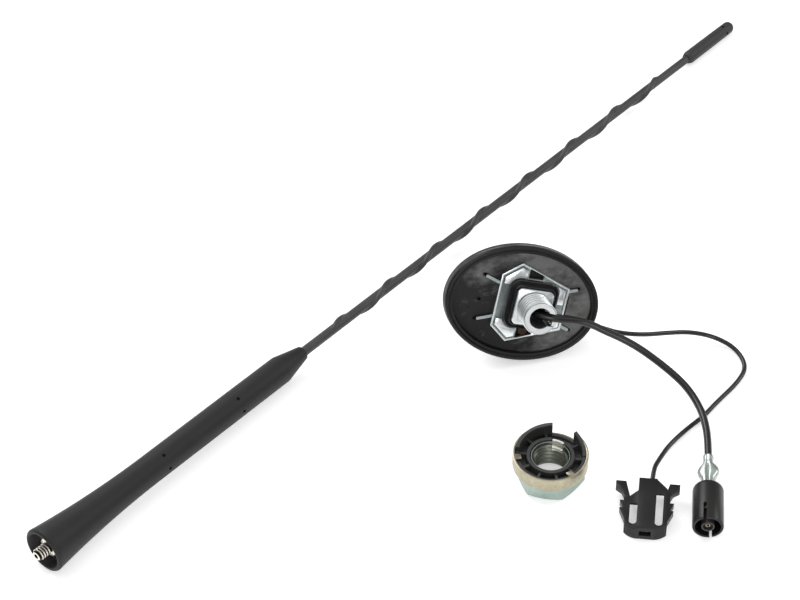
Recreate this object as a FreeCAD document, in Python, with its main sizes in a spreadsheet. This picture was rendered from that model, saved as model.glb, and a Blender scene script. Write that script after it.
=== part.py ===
import FreeCAD, Part
import math
import os
import re

import Sketcher

# Roof antenna taken apart on a table: a screw-in whip mast lying along +X, its roof foot lying on its
# side with two leads and their connectors, and the clamp nut with its swivelling claw ring.
# Millimetres and degrees, +Z up, the table at z = 0, the origin under the middle of the set.

Vector = FreeCAD.Vector

# Driving dimensions, kept on the sheet under these names.
SIZES = {
    # Clearances
    "fit_gap": 0.05,
    "running_gap": 0.08,
    "swivel_gap": 0.1,
    # Mast: places of the rim's centre, the moulded grip and its hollow foot
    "mast_x": -211.4,
    "mast_y": 59.5,
    "flare_diameter": 19.0,
    "rim_round": 1.2,
    "flare_arc_radius": 480.0,
    "flare_length": 58.0,
    "neck_diameter": 11.9,
    "cone_start": 132.4,
    "cone_root_diameter": 11.6,
    "cone_tip_diameter": 6.0,
    "grip_length": 144.8,
    "recess_mouth_diameter": 15.4,
    "recess_floor_diameter": 13.8,
    "recess_depth": 3.8,
    "recess_slot_width": 0.9,
    "recess_slot_depth": 1.0,
    "recess_slot_margin": 0.5,
    "recess_slot_turn": 55.0,
    "dimple_diameter": 1.6,
    "dimple_depth": 0.8,
    "dimple_low_station": 63.3,
    "dimple_high_station": 105.0,
    "dimple_spread": 60.0,
    "dimple_turn": 144.5,
    # Mast: jacketed whip with the wound bead, core rod and tip cap
    "whip_root_diameter": 4.0,
    "whip_tip_diameter": 3.4,
    "whip_seat": 22.0,
    "rod_diameter": 2.4,
    "bead_start": 162.4,
    "bead_length": 211.4,
    "bead_pitch": 29.4,
    "bead_diameter": 2.3,
    "bead_rise": 1.1,
    "bead_turn": 113.0,
    "cap_start": 393.8,
    "cap_length": 32.2,
    "cap_base_diameter": 5.7,
    "cap_end_diameter": 5.4,
    "cap_mouth_diameter": 4.4,
    "cap_shoulder": 1.6,
    "cap_seat": 22.0,
    "cap_dimple_reach": 6.2,
    "cap_dimple_spread": 86.0,
    "cap_dimple_turn": 130.0,
    # Mast: threaded stud
    "mast_stud_diameter": 5.0,
    "mast_stud_reach": 3.4,
    "mast_stud_chamfer": 0.6,
    "stud_flange_across": 7.6,
    "stud_flange_thickness": 1.0,
    "shank_diameter": 6.0,
    "shank_length": 26.0,
    "rod_seat": 16.0,
    "key_socket_across": 2.0,
    "key_socket_depth": 1.6,
    # Foot: place of the rim's centre, the way the underside faces and the roll about that way
    "foot_x": 0.2,
    "foot_y": 0.3,
    "foot_turn": -124.6,
    "foot_roll": -18.5,
    "oval_length": 64.6,
    "oval_width": 48.6,
    "lip_height": 2.5,
    "lip_width": 3.2,
    "lip_round": 0.8,
    "pad_thickness": 2.0,
    "skirt_height": 1.5,
    "skirt_draw": 0.8,
    "foot_wall": 2.2,
    "foot_height": 35.0,
    "waist_height": 18.0,
    "waist_length": 35.0,
    "waist_width": 29.0,
    "waist_offset": 3.5,
    "seat_diameter": 19.4,
    "seat_offset": 8.0,
    "seat_rake": 27.0,
    "boss_diameter": 13.0,
    "boss_height": 3.2,
    "socket_diameter": 8.0,
    "socket_length": 15.0,
    "socket_bore": 4.2,
    "socket_thread_depth": 12.0,
    # Foot: cast plate with its square shoulder and slotted roof stud
    "stud_offset": 3.5,
    "plate_left": -11.0,
    "plate_left_half": 11.0,
    "plate_shoulder": -3.5,
    "plate_shoulder_half": 16.8,
    "plate_right": 18.3,
    "plate_right_half": 8.9,
    "plate_thickness": 1.2,
    "plate_edge_width": 0.9,
    "plate_edge_height": 0.7,
    "corner_pad_height": 1.1,
    "corner_pad_inset": 1.6,
    "corner_pad_gap": 0.5,
    "left_pad_start": 7.5,
    "left_pad_end": -0.6,
    "right_pad_start": 1.8,
    "right_pad_begin": 13.2,
    "window_start": 0.4,
    "window_length": 6.2,
    "window_inner": 10.7,
    "window_reach": 6.2,
    "window_rim": 0.5,
    "tab_width": 1.2,
    "tab_thickness": 0.9,
    "tab_spread": 19.0,
    "tab_root": 0.5,
    "left_tab_half": 7.0,
    "left_tab_length": 6.6,
    "right_tab_half": 7.3,
    "right_tab_length": 4.0,
    "tab_slot_extra": 1.3,
    "tab_slot_width": 1.6,
    "edge_slot_width": 1.2,
    "edge_slot_length": 11.0,
    "platform_length": 24.0,
    "platform_width": 19.0,
    "shoulder_across": 15.5,
    "shoulder_round": 2.2,
    "shoulder_height": 5.0,
    "roof_stud_diameter": 14.0,
    "roof_stud_length": 12.0,
    "roof_stud_chamfer": 0.3,
    "roof_stud_bore": 8.6,
    "roof_stud_slot": 5.4,
    "roof_stud_slot_depth": 9.5,
    "slot_run_out": 1.0,
    # Foot: square seal round the shoulder
    "seal_across": 20.6,
    "seal_round": 4.4,
    "seal_width": 2.4,
    "seal_height": 2.2,
    "seal_lip_width": 0.8,
    "seal_lip_height": 1.8,
    "seal_groove_width": 0.7,
    "seal_groove_depth": 0.6,
    # Foot: amplifier board, the parts on it and the strip to the mast socket
    "board_length": 34.0,
    "board_width": 27.0,
    "board_thickness": 1.2,
    "choke_diameter": 3.8,
    "choke_height": 1.7,
    "choke_x": 3.6,
    "choke_y": 12.1,
    "choke_hole_reach": 4.9,
    "pad_pit_depth": 1.5,
    "chip_length": 7.0,
    "chip_width": 5.0,
    "chip_height": 1.6,
    "chip_x": -9.0,
    "coil_diameter": 6.0,
    "coil_height": 5.0,
    "coil_x": -6.0,
    "coil_y": 8.0,
    "strip_width": 3.0,
    "strip_thickness": 0.8,
    "strip_foot": 4.0,
    # Leads and their connectors
    "aerial_lead_diameter": 3.0,
    "supply_lead_diameter": 1.9,
    "plug_x": -29.9,
    "plug_y": -119.8,
    "plug_turn": 38.0,
    "plug_roll": 14.0,
    "plug_diameter": 12.2,
    "plug_length": 20.6,
    "plug_wall": 1.1,
    "plug_shoulder_round": 2.4,
    "plug_mouth_chamfer": 0.4,
    "plug_depth": 9.0,
    "plug_key_width": 1.3,
    "plug_split_width": 1.1,
    "plug_slot_reach": 3.3,
    "plug_split_length": 5.4,
    "plug_key_length": 7.9,
    "plug_shell_diameter": 8.6,
    "plug_shell_wall": 0.35,
    "plug_shell_inset": 6.6,
    "plug_core_diameter": 5.2,
    "plug_core_inset": 0.2,
    "plug_core_recess": 1.4,
    "plug_core_wall": 0.7,
    "plug_pin_diameter": 2.0,
    "plug_pin_bore": 1.0,
    "ferrule_length": 16.2,
    "ferrule_barrel_diameter": 4.2,
    "ferrule_ear_root": 4.4,
    "ferrule_ear_round": 4.7,
    "ferrule_ear_length": 12.0,
    "ferrule_ear_thickness": 4.2,
    "ferrule_neck_width": 5.6,
    "ferrule_grip": 5.0,
    "aerial_run_out": 4.5,
    "latch_x": -36.1,
    "latch_y": -94.6,
    "latch_turn": 36.0,
    "latch_length": 26.1,
    "latch_thickness": 6.4,
    "latch_arm_thickness": 3.0,
    "latch_arm_drop": 0.3,
    "spine_width": 7.1,
    "spine_setback": 1.0,
    "arm_half": 9.0,
    "barb_half": 10.5,
    "first_barb": 12.0,
    "barb_spacing": 3.9,
    "barb_relief": 0.3,
    "barb_step": 0.2,
    "nose_half": 8.3,
    "nose_length": 4.4,
    "nose_flank": 1.76,
    "nose_round": 7.4,
    "right_shoulder": 4.6,
    "right_shoulder_half": 7.6,
    "left_shoulder": 6.3,
    "left_notch": 9.6,
    "notch_half": 6.6,
    "finger_back": 2.0,
    "finger_depth": 2.6,
    "finger_reach": 12.5,
    "finger_width": 4.0,
    "finger_stem": 1.9,
    "finger_root": 0.5,
    "finger_flare": 1.6,
    "finger_heel": 4.4,
    "window_end": 24.1,
    "window_width": 2.9,
    "left_window_length": 10.7,
    "right_window_length": 16.6,
    "window_web": 1.0,
    "window_relief": 2.4,
    "mouth_width": 4.6,
    "mouth_height": 2.6,
    "mouth_depth": 7.0,
    "wire_offset": 1.42,
    "wire_grip": 6.0,
    "supply_run_out": 7.2,
    "contact_width": 2.0,
    "contact_length": 4.9,
    "contact_height": 1.4,
    "contact_sheet": 0.3,
    "contact_gap": 0.8,
    # Clamp nut and its claw ring
    "nut_x": -46.3,
    "nut_y": -54.2,
    "nut_turn": -59.3,
    "nut_across": 24.0,
    "nut_height": 7.5,
    "nut_chamfer_angle": 30.0,
    "nut_face_diameter": 23.3,
    "nut_bore": 12.4,
    "nut_lead_in": 0.8,
    "collar_diameter": 15.4,
    "collar_height": 4.7,
    "collar_sink": 1.2,
    "collar_sink_depth": 2.0,
    "stake_wall": 0.9,
    "stake_rise": 1.7,
    "stake_start": -4.0,
    "stake_span": 38.0,
    "ring_diameter": 29.8,
    "ring_wall": 0.9,
    "ring_floor": 1.0,
    "ring_bend": 0.8,
    "ring_height": 6.3,
    "ring_gap_start": -6.0,
    "ring_gap_span": 43.0,
    "ring_gap_floor": 2.2,
    "ring_tab_width": 2.6,
    "ring_tab_thickness": 0.7,
    "ring_tab_reach": 2.65,
    "left_tab_angle": 140.0,
    "front_tab_angle": 256.0,
    "insert_gap": 0.35,
    "insert_web": 0.8,
    "insert_wall": 1.5,
    "insert_ring_wall": 1.4,
    "insert_drop": 0.4,
    "insert_rib_width": 1.0,
    "insert_rib_drop": 1.0,
    "insert_rib_count": 9,
    "insert_rib_root": 0.2,
    "insert_rib_margin": 12.0,
    "insert_gap_step": 1.0,
    "left_claw_span": 85.0,
    "right_claw_span": 46.0,
    "claw_rise": 2.6,
}

doc = FreeCAD.newDocument("roof_antenna")
sheet = doc.addObject("Spreadsheet::Sheet", "Sizes")
for row, (alias, number) in enumerate(SIZES.items(), start=1):
    sheet.set(f"A{row}", alias)
    sheet.set(f"B{row}", str(number))
    sheet.setAlias(f"B{row}", alias)
doc.recompute()

sub_parts = []


def size(formula):
    """Number that a formula of sheet names gives now."""
    return float(sheet.evalExpression(str(formula)))


def on_sheet(formula):
    """The formula with its names led back to the sheet, for an object's own expression."""
    return re.sub(r"[a-z_]+", lambda m: f"Sizes.{m[0]}" if m[0] in SIZES else m[0], str(formula))


def made(kind, name, **formulas):
    """Object of the document with its sizes bound to the sheet."""
    thing = doc.addObject(kind, name)
    for prop, formula in formulas.items():
        thing.setExpression(prop.replace("__", "."), on_sheet(formula))
    return thing


def at(thing, x=0, y=0, z=0, turn_axis=None, turn=0):
    """Moves a shape within its piece, by formulas, and turns it about an axis through its own corner."""
    for prop, formula in (("x", x), ("y", y), ("z", z)):
        thing.setExpression(f"Placement.Base.{prop}", on_sheet(formula))
    if turn_axis is not None:
        thing.Placement = FreeCAD.Placement(Vector(), FreeCAD.Rotation(turn_axis, 0))
        thing.setExpression("Placement.Rotation.Axis.x", str(turn_axis.x))
        thing.setExpression("Placement.Rotation.Axis.y", str(turn_axis.y))
        thing.setExpression("Placement.Rotation.Axis.z", str(turn_axis.z))
        thing.setExpression("Placement.Rotation.Angle", on_sheet(turn))
    return thing


def block(name, length, width, height, x="0", y="0", z="0"):
    """Box centred on x and y, rising from z."""
    thing = made("Part::Box", name, Length=length, Width=width, Height=height)
    return at(thing, f"({x}) - ({length}) / 2", f"({y}) - ({width}) / 2", z)


def rod(name, diameter, height, x="0", y="0", z="0"):
    """Upright cylinder standing at z."""
    return at(made("Part::Cylinder", name, Radius=f"({diameter}) / 2", Height=height), x, y, z)


def pie(name, diameter, height, start, span, z="0"):
    """Sector of an upright cylinder, from a start angle over a span."""
    thing = made("Part::Cylinder", name, Radius=f"({diameter}) / 2", Height=height, Angle=span)
    return at(thing, z=z, turn_axis=Vector(0, 0, 1), turn=start)


def fused(name, things):
    joined = doc.addObject("Part::MultiFuse", name)
    joined.Shapes = things
    return joined


def cut(name, base, tools):
    """Base with the tools taken away; the cut has to remove something."""
    removed = doc.addObject("Part::Cut", name)
    removed.Base = base
    removed.Tool = tools[0] if len(tools) == 1 else fused(name + "_tools", tools)
    doc.recompute()
    if not removed.Shape.Volume < base.Shape.Volume - 0.001:
        raise ValueError(f"{name}: the cut removes nothing")
    return removed


def plane_of(body, role):
    return next(o for o in body.Origin.OriginFeatures if o.Role == role)


def outline(body, name, role, corners, offset="0"):
    """Sketch of one closed outline. A corner is a pair of formulas; a third and fourth item give the
    radius of an arc that leaves it for the next corner, and +1 or -1 for the way that arc turns."""
    sketch = body.newObject("Sketcher::SketchObject", name)
    sketch.AttachmentSupport = [(plane_of(body, role), "")]
    sketch.MapMode = "FlatFace"
    sketch.setExpression("AttachmentOffset.Base.z", on_sheet(offset))
    count = len(corners)
    spots = [Vector(size(c[0]), size(c[1]), 0) for c in corners]
    ends = []
    for i, corner in enumerate(corners):
        here, there = spots[i], spots[(i + 1) % count]
        if len(corner) == 2:
            sketch.addGeometry(Part.LineSegment(here, there))
            ends.append((1, 2))
            continue
        radius, way = size(corner[2]), corner[3]
        half = (there - here) / 2
        rise = math.sqrt(radius**2 - half.Length**2) * way
        centre = here + half + Vector(-half.y, half.x, 0).normalize() * rise
        first, last = (here, there) if way > 0 else (there, here)
        angles = [math.atan2(p.y - centre.y, p.x - centre.x) for p in (first, last)]
        sketch.addGeometry(Part.ArcOfCircle(Part.Circle(centre, Vector(0, 0, 1), radius), *angles))
        ends.append((1, 2) if way > 0 else (2, 1))
    for i in range(count):
        after = (i + 1) % count
        sketch.addConstraint(Sketcher.Constraint("Coincident", i, ends[i][1], after, ends[after][0]))
    for i, corner in enumerate(corners):
        for kind, axis, formula in (("DistanceX", -2, corner[0]), ("DistanceY", -1, corner[1])):
            if str(formula) == "0":
                sketch.addConstraint(Sketcher.Constraint("PointOnObject", i, ends[i][0], axis))
                continue
            index = sketch.addConstraint(Sketcher.Constraint(kind, -1, 1, i, ends[i][0], size(formula)))
            sketch.setExpression(f"Constraints[{index}]", on_sheet(formula))
        if len(corner) > 2:
            index = sketch.addConstraint(Sketcher.Constraint("Radius", i, size(corner[2])))
            sketch.setExpression(f"Constraints[{index}]", on_sheet(corner[2]))
    return sketch


def turned(name, corners):
    """Body turned about its Z axis from an outline of radius and height pairs."""
    body = doc.addObject("PartDesign::Body", name)
    sketch = outline(body, name + "_profile", "XZ_Plane", corners)
    turn = body.newObject("PartDesign::Revolution", name + "_turn")
    turn.Profile = sketch
    turn.ReferenceAxis = (sketch, ["V_Axis"])
    turn.Angle = 360
    doc.recompute()
    return body


def plate(name, corners, height, z="0", role="XY_Plane"):
    """Body padded from a flat outline that lies at z."""
    body = doc.addObject("PartDesign::Body", name)
    sketch = outline(body, name + "_outline", role, corners, z)
    pad = body.newObject("PartDesign::Pad", name + "_pad")
    pad.Profile = sketch
    pad.setExpression("Length", on_sheet(height))
    doc.recompute()
    return body


def rounded_square(across, corner_round, x="0"):
    """Corners of a square with rounded corners, centred on x."""
    half, inner = f"({across}) / 2", f"(({across}) / 2 - ({corner_round}))"
    return [
        (f"{x} + {inner}", f"-{half}", corner_round, 1),
        (f"{x} + {half}", f"-{inner}"),
        (f"{x} + {half}", inner, corner_round, 1),
        (f"{x} + {inner}", half),
        (f"{x} - {inner}", half, corner_round, 1),
        (f"{x} - {half}", inner),
        (f"{x} - {half}", f"-{inner}", corner_round, 1),
        (f"{x} - {inner}", f"-{half}"),
    ]


def set_at(thing, place):
    """Sets a shape at a worked-out place, instead of by formulas."""
    for prop in ("x", "y", "z"):
        thing.setExpression(f"Placement.Base.{prop}", None)
    thing.Placement = place
    return thing


def keep(thing, label, frame=None):
    """Names a finished piece and carries it, from its place within the piece's frame, to the table."""
    thing.Label = label
    if frame is not None:
        doc.recompute()
        set_at(thing, frame.multiply(thing.Placement))
    sub_parts.append(thing)
    return thing


SIDES = ((-1, "upper"), (1, "lower"))

# Mast frame: local Z runs along the mast from the rim to the tip, local X to +Y, local Y up.
# The mast lies on its flared rim and on its tip cap, so its axis falls a little towards the tip.
rim_radius = size("flare_diameter / 2")
cap_radius = size("cap_end_diameter / 2")
rim_contact = size("rim_round")
cap_contact = size("cap_start + cap_length - cap_end_diameter / 2")
mast_fall = math.asin((rim_radius - cap_radius) / (cap_contact - rim_contact))
axis_height = rim_radius * math.cos(mast_fall) + rim_contact * math.sin(mast_fall)
mast_axes = FreeCAD.Rotation(Vector(0, 1, 0), Vector(0, 0, 1), Vector(1, 0, 0), "ZXY")
mast_lean = FreeCAD.Rotation(Vector(0, 1, 0), math.degrees(mast_fall))
mast_frame = FreeCAD.Placement(
    Vector(size("mast_x"), size("mast_y"), axis_height), mast_lean.multiply(mast_axes)
)

# Mast grip: soft moulding with a flared, hollow foot and a conical nose round the whip.
grip_blank = turned(
    "grip_blank",
    [
        ("recess_mouth_diameter / 2", "0"),
        ("flare_diameter / 2 - rim_round", "0", "rim_round", 1),
        ("flare_diameter / 2", "rim_round", "flare_arc_radius", -1),
        ("neck_diameter / 2", "flare_length"),
        ("cone_root_diameter / 2", "cone_start"),
        ("cone_tip_diameter / 2", "grip_length"),
        ("whip_root_diameter / 2 + fit_gap", "grip_length"),
        ("whip_root_diameter / 2 + fit_gap", "grip_length - whip_seat"),
        ("rod_diameter / 2 + fit_gap", "grip_length - whip_seat"),
        ("rod_diameter / 2 + fit_gap", "recess_depth + shank_length"),
        ("shank_diameter / 2 + fit_gap", "recess_depth + shank_length"),
        ("shank_diameter / 2 + fit_gap", "recess_depth"),
        ("recess_floor_diameter / 2", "recess_depth"),
    ],
)
SLOT_LENGTH = "(recess_floor_diameter - 2 * recess_slot_margin)"
recess_slot = made(
    "Part::Box", "recess_slot", Length=SLOT_LENGTH, Width="recess_slot_width", Height="recess_slot_depth"
)
at(
    recess_slot,
    f"(recess_slot_width * sin(recess_slot_turn) - {SLOT_LENGTH} * cos(recess_slot_turn)) / 2",
    f"-(recess_slot_width * cos(recess_slot_turn) + {SLOT_LENGTH} * sin(recess_slot_turn)) / 2",
    "recess_depth",
    turn_axis=Vector(0, 0, 1),
    turn="recess_slot_turn",
)


def pin_mark(name, station, radius, bearing):
    """Blind hole that a moulding pin leaves in a round piece, on a bearing round it."""
    angle = math.radians(size(bearing))
    outward = Vector(math.cos(angle), math.sin(angle), 0)
    bed = outward * size(f"{radius} - dimple_depth") + Vector(0, 0, size(station))
    hole = rod(name, "dimple_diameter", "flare_diameter")
    return set_at(hole, FreeCAD.Placement(bed, FreeCAD.Rotation(Vector(0, 0, 1), outward)))


dimples = [
    pin_mark(f"{end}_dimple_{mark}", f"dimple_{end}_station", "neck_diameter / 2",
             f"dimple_turn + {side} * dimple_spread / 2")
    for end in ("low", "high")
    for side, mark in SIDES
]
keep(cut("grip", grip_blank, [recess_slot, *dimples]), "mast_grip", mast_frame)

# Whip jacket: tapering sleeve with a left-handed bead where the wire is wound beneath it.
jacket_sleeve = turned(
    "jacket_sleeve",
    [
        ("0", "grip_length - whip_seat"),
        ("whip_root_diameter / 2", "grip_length - whip_seat"),
        ("whip_root_diameter / 2", "grip_length"),
        ("whip_tip_diameter / 2", "cap_start"),
        ("whip_tip_diameter / 2", "cap_start + cap_seat"),
        ("0", "cap_start + cap_seat"),
    ],
)
bead_line = made(
    "Part::Helix",
    "bead_line",
    Pitch="bead_pitch",
    Height="bead_length",
    Radius="whip_tip_diameter / 2 + bead_rise - bead_diameter / 2",
)
bead_line.LocalCoord = "Left-handed"
at(bead_line, z="bead_start", turn_axis=Vector(0, 0, 1), turn="bead_turn")
bead_section = made("Part::Circle", "bead_section", Radius="bead_diameter / 2")
helix_radius = size("whip_tip_diameter / 2 + bead_rise - bead_diameter / 2")
bead_climb = math.atan2(size("bead_pitch"), 2 * math.pi * helix_radius)
bead_bearing = math.radians(size("bead_turn"))
bead_out = Vector(math.cos(bead_bearing), math.sin(bead_bearing), 0)
bead_round = Vector(math.sin(bead_bearing), -math.cos(bead_bearing), 0)
bead_heading = bead_round * math.cos(bead_climb) + Vector(0, 0, math.sin(bead_climb))
bead_section.Placement = FreeCAD.Placement(
    bead_out * helix_radius + Vector(0, 0, size("bead_start")),
    FreeCAD.Rotation(Vector(0, 0, 1), bead_heading),
)
bead = doc.addObject("Part::Sweep", "bead")
bead.Sections = [bead_section]
bead.Spine = (bead_line, ["Edge1"])
bead.Solid = True
bead.Frenet = True
bead_ends = []
for end, reach in (("first", "0"), ("last", "bead_length")):
    ball = made("Part::Sphere", f"bead_{end}_end", Radius="bead_diameter / 2")
    bearing = math.radians(size(f"bead_turn - 360 * ({reach}) / bead_pitch"))
    ball.Placement.Base = Vector(
        helix_radius * math.cos(bearing), helix_radius * math.sin(bearing), size(f"bead_start + {reach}")
    )
    bead_ends.append(ball)
doc.recompute()
keep(
    cut(
        "jacket",
        fused("jacket_blank", [jacket_sleeve, bead, *bead_ends]),
        [rod("jacket_bore", "rod_diameter + 2 * fit_gap", "cap_start + cap_length")],
    ),
    "whip_jacket",
    mast_frame,
)

# Core rod: stiff glass-fibre core from the stud's bore into the cap.
keep(
    rod(
        "core",
        "rod_diameter",
        "cap_start + cap_seat - recess_depth - shank_length + rod_seat",
        z="recess_depth + shank_length - rod_seat",
    ),
    "core_rod",
    mast_frame,
)

# Tip cap: moulded cap pushed over the whip's end, with a round nose and two moulding pin marks.
CAP_END = "cap_start + cap_length"
cap_blank = turned(
    "cap_blank",
    [
        ("whip_tip_diameter / 2 + fit_gap", "cap_start"),
        ("cap_mouth_diameter / 2", "cap_start"),
        ("cap_base_diameter / 2", "cap_start + cap_shoulder"),
        ("cap_end_diameter / 2", f"{CAP_END} - cap_end_diameter / 2", "cap_end_diameter / 2", 1),
        ("0", CAP_END),
        ("0", "cap_start + cap_seat + fit_gap"),
        ("whip_tip_diameter / 2 + fit_gap", "cap_start + cap_seat + fit_gap"),
    ],
)
cap_marks = [
    pin_mark(f"cap_mark_{mark}", f"{CAP_END} - cap_dimple_reach", "cap_end_diameter / 2",
             f"cap_dimple_turn + {side} * cap_dimple_spread / 2")
    for side, mark in SIDES
]
keep(cut("cap", cap_blank, cap_marks), "tip_cap", mast_frame)

# Mast stud: turned screw with a hexagon flange on the recess floor and a crimped shank round the rod.
stud_turning = turned(
    "stud_turning",
    [
        ("0", "-mast_stud_reach"),
        ("mast_stud_diameter / 2 - mast_stud_chamfer", "-mast_stud_reach"),
        ("mast_stud_diameter / 2", "mast_stud_chamfer - mast_stud_reach"),
        ("mast_stud_diameter / 2", "recess_depth"),
        ("shank_diameter / 2", "recess_depth"),
        ("shank_diameter / 2", "recess_depth + shank_length"),
        ("rod_diameter / 2 + fit_gap", "recess_depth + shank_length"),
        ("rod_diameter / 2 + fit_gap", "recess_depth + shank_length - rod_seat"),
        ("0", "recess_depth + shank_length - rod_seat"),
    ],
)


def hexagon(name, across, height, z):
    """Upright hexagon prism, standing at z."""
    prism = made("Part::Prism", name, Circumradius=f"{across} / sqrt(3)", Height=height)
    prism.Polygon = 6
    return at(prism, z=z)


stud_flange = hexagon(
    "stud_flange", "stud_flange_across", "stud_flange_thickness", "recess_depth - stud_flange_thickness"
)
key_socket = hexagon("key_socket", "key_socket_across", "key_socket_depth", "-mast_stud_reach")
stud_blank = fused("stud_blank", [stud_turning, stud_flange])
keep(cut("stud", stud_blank, [key_socket]), "mast_stud", mast_frame)

# Foot frame: origin at the rim's centre, local X along the oval, local Z from the roof into the hump.
# The foot lies on its rim and on the mast seat, so its lean follows from those sizes.
roll = math.radians(size("foot_roll"))
facing = math.radians(size("foot_turn"))
rake = math.radians(size("seat_rake"))
seat_along = Vector(math.sin(rake), 0, math.cos(rake))
seat_across = Vector(math.cos(rake), 0, -math.sin(rake))
seat_centre = Vector(size("seat_offset"), 0, size("foot_height"))


def ring_depth(down, centre, radius, side_x, side_y):
    """How far a circle or oval reaches along a direction from the foot's origin."""
    return down.dot(centre) + math.hypot(radius[0] * down.dot(side_x), radius[1] * down.dot(side_y))


def contact_depths(lean):
    """Depth of the rim and of the seat below the foot's origin at a lean."""
    down = Vector(-math.sin(roll), math.cos(roll), 0) * math.cos(lean) + Vector(0, 0, math.sin(lean))
    oval = (size("oval_length / 2"), size("oval_width / 2"))
    pad_back = Vector(0, 0, size("lip_height + pad_thickness"))
    rim = ring_depth(down, pad_back, oval, Vector(1, 0, 0), Vector(0, 1, 0))
    seat_radius = (size("seat_diameter / 2"),) * 2
    boss_radius = (size("boss_diameter / 2"),) * 2
    boss_top = seat_centre + seat_along * size("boss_height")
    seat = max(
        ring_depth(down, seat_centre, seat_radius, seat_across, Vector(0, 1, 0)),
        ring_depth(down, boss_top, boss_radius, seat_across, Vector(0, 1, 0)),
    )
    return rim, seat


low_lean, high_lean = 0.0, math.radians(60)
for _ in range(50):
    foot_lean = (low_lean + high_lean) / 2
    rim_depth, seat_depth = contact_depths(foot_lean)
    if seat_depth < rim_depth:
        low_lean = foot_lean
    else:
        high_lean = foot_lean
ahead = Vector(math.cos(facing), math.sin(facing), 0)
outward = ahead * math.cos(foot_lean) + Vector(0, 0, math.sin(foot_lean))
level = Vector(-math.sin(facing), math.cos(facing), 0)
foot_long = level * math.cos(roll) + outward.cross(level) * math.sin(roll)
foot_frame = FreeCAD.Placement(
    Vector(size("foot_x"), size("foot_y"), rim_depth),
    FreeCAD.Rotation(foot_long, Vector(), outward * -1, "ZXY"),
)

# Foot housing: hollow hump that rises from the oval skirt to the raked, round mast seat.


def oval(name, length, width, x, z):
    ring = made("Part::Ellipse", name, MajorRadius=f"({length}) / 2", MinorRadius=f"({width}) / 2")
    return at(ring, x, "0", z)


def hump(name, wall, drop):
    """Loft from the oval to the seat, drawn in by a wall on every side and lowered by a drop at the top."""
    top = made("Part::Circle", f"{name}_seat", Radius=f"seat_diameter / 2 - {wall}")
    at(
        top,
        f"seat_offset - ({drop}) * sin(seat_rake)",
        "0",
        f"foot_height - ({drop}) * cos(seat_rake)",
        turn_axis=Vector(0, 1, 0),
        turn="seat_rake",
    )
    base = "lip_height + pad_thickness"
    loft = doc.addObject("Part::Loft", name)
    loft.Sections = [
        oval(f"{name}_base", f"oval_length - 2 * ({wall})", f"oval_width - 2 * ({wall})", "0", base),
        oval(
            f"{name}_skirt",
            f"oval_length - 2 * skirt_draw - 2 * ({wall})",
            f"oval_width - 2 * skirt_draw - 2 * ({wall})",
            "0",
            f"{base} + skirt_height",
        ),
        oval(
            f"{name}_waist",
            f"waist_length - 2 * ({wall})",
            f"waist_width - 2 * ({wall})",
            "waist_offset",
            "waist_height",
        ),
        top,
    ]
    loft.Solid = True
    loft.Ruled = False
    return loft


def on_seat(thing, back):
    """Stands a shape on the mast seat's axis, a given distance back from the seat."""
    at(
        thing,
        f"seat_offset - ({back}) * sin(seat_rake)",
        "0",
        f"foot_height - ({back}) * cos(seat_rake)",
        turn_axis=Vector(0, 1, 0),
        turn="seat_rake",
    )
    return thing


boss = on_seat(
    made("Part::Cylinder", "boss", Radius="boss_diameter / 2", Height="boss_height + foot_wall"),
    "foot_wall",
)
socket_hole = on_seat(
    made(
        "Part::Cylinder",
        "socket_hole",
        Radius="socket_diameter / 2 + fit_gap",
        Height="boss_height + socket_length",
    ),
    "socket_length - boss_height",
)
doc.recompute()
keep(
    cut(
        "housing",
        fused("housing_blank", [hump("hump_outside", "0", "0"), boss]),
        [hump("hump_inside", "foot_wall", "foot_wall * 2"), socket_hole],
    ),
    "foot_housing",
    foot_frame,
)

# Mast socket: threaded bush that takes the mast's stud, set in the boss along the rake.
socket_body = on_seat(
    made("Part::Cylinder", "socket_body", Radius="socket_diameter / 2", Height="socket_length"),
    "socket_length - boss_height",
)
socket_thread = on_seat(
    made("Part::Cylinder", "socket_thread", Radius="socket_bore / 2", Height="socket_thread_depth"),
    "socket_thread_depth - boss_height",
)
keep(cut("socket", socket_body, [socket_thread]), "mast_socket", foot_frame)

# Cast plate and roof stud: one casting with raised corners, four locating tabs, a square shoulder and
# a hollow threaded stud that is slotted for the leads.
BEVEL = "atan((plate_shoulder_half - plate_left_half) / (plate_shoulder - plate_left))"
TAPER = "atan((plate_shoulder_half - plate_right_half) / (plate_right - plate_shoulder))"


def plate_outline(inset):
    """Six-cornered outline of the plate, drawn in evenly by an inset."""
    left_half = f"(plate_left_half - {inset} * (1 / cos({BEVEL}) - tan({BEVEL})))"
    right_half = f"(plate_right_half - {inset} * (1 / cos({TAPER}) - tan({TAPER})))"
    run = f"({inset} * (1 / cos({BEVEL}) - 1 / cos({TAPER})) / (tan({BEVEL}) + tan({TAPER})))"
    peak = f"(plate_shoulder_half + {run} * tan({BEVEL}) - {inset} / cos({BEVEL}))"
    return [
        (f"plate_left + {inset}", f"-{left_half}"),
        (f"plate_shoulder + {run}", f"-{peak}"),
        (f"plate_right - {inset}", f"-{right_half}"),
        (f"plate_right - {inset}", right_half),
        (f"plate_shoulder + {run}", peak),
        (f"plate_left + {inset}", left_half),
    ]


PLATE_FACE = "lip_height - plate_thickness"
EDGE_TOP = f"{PLATE_FACE} - plate_edge_height"
flange = plate("flange", plate_outline("0"), "plate_thickness", PLATE_FACE)
edge_blank = plate("edge_blank", plate_outline("0"), "plate_edge_height", EDGE_TOP)
edge_field = plate("edge_field", plate_outline("plate_edge_width"), "plate_edge_height", EDGE_TOP)
plate_edge = cut("plate_edge", edge_blank, [edge_field])

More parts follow.
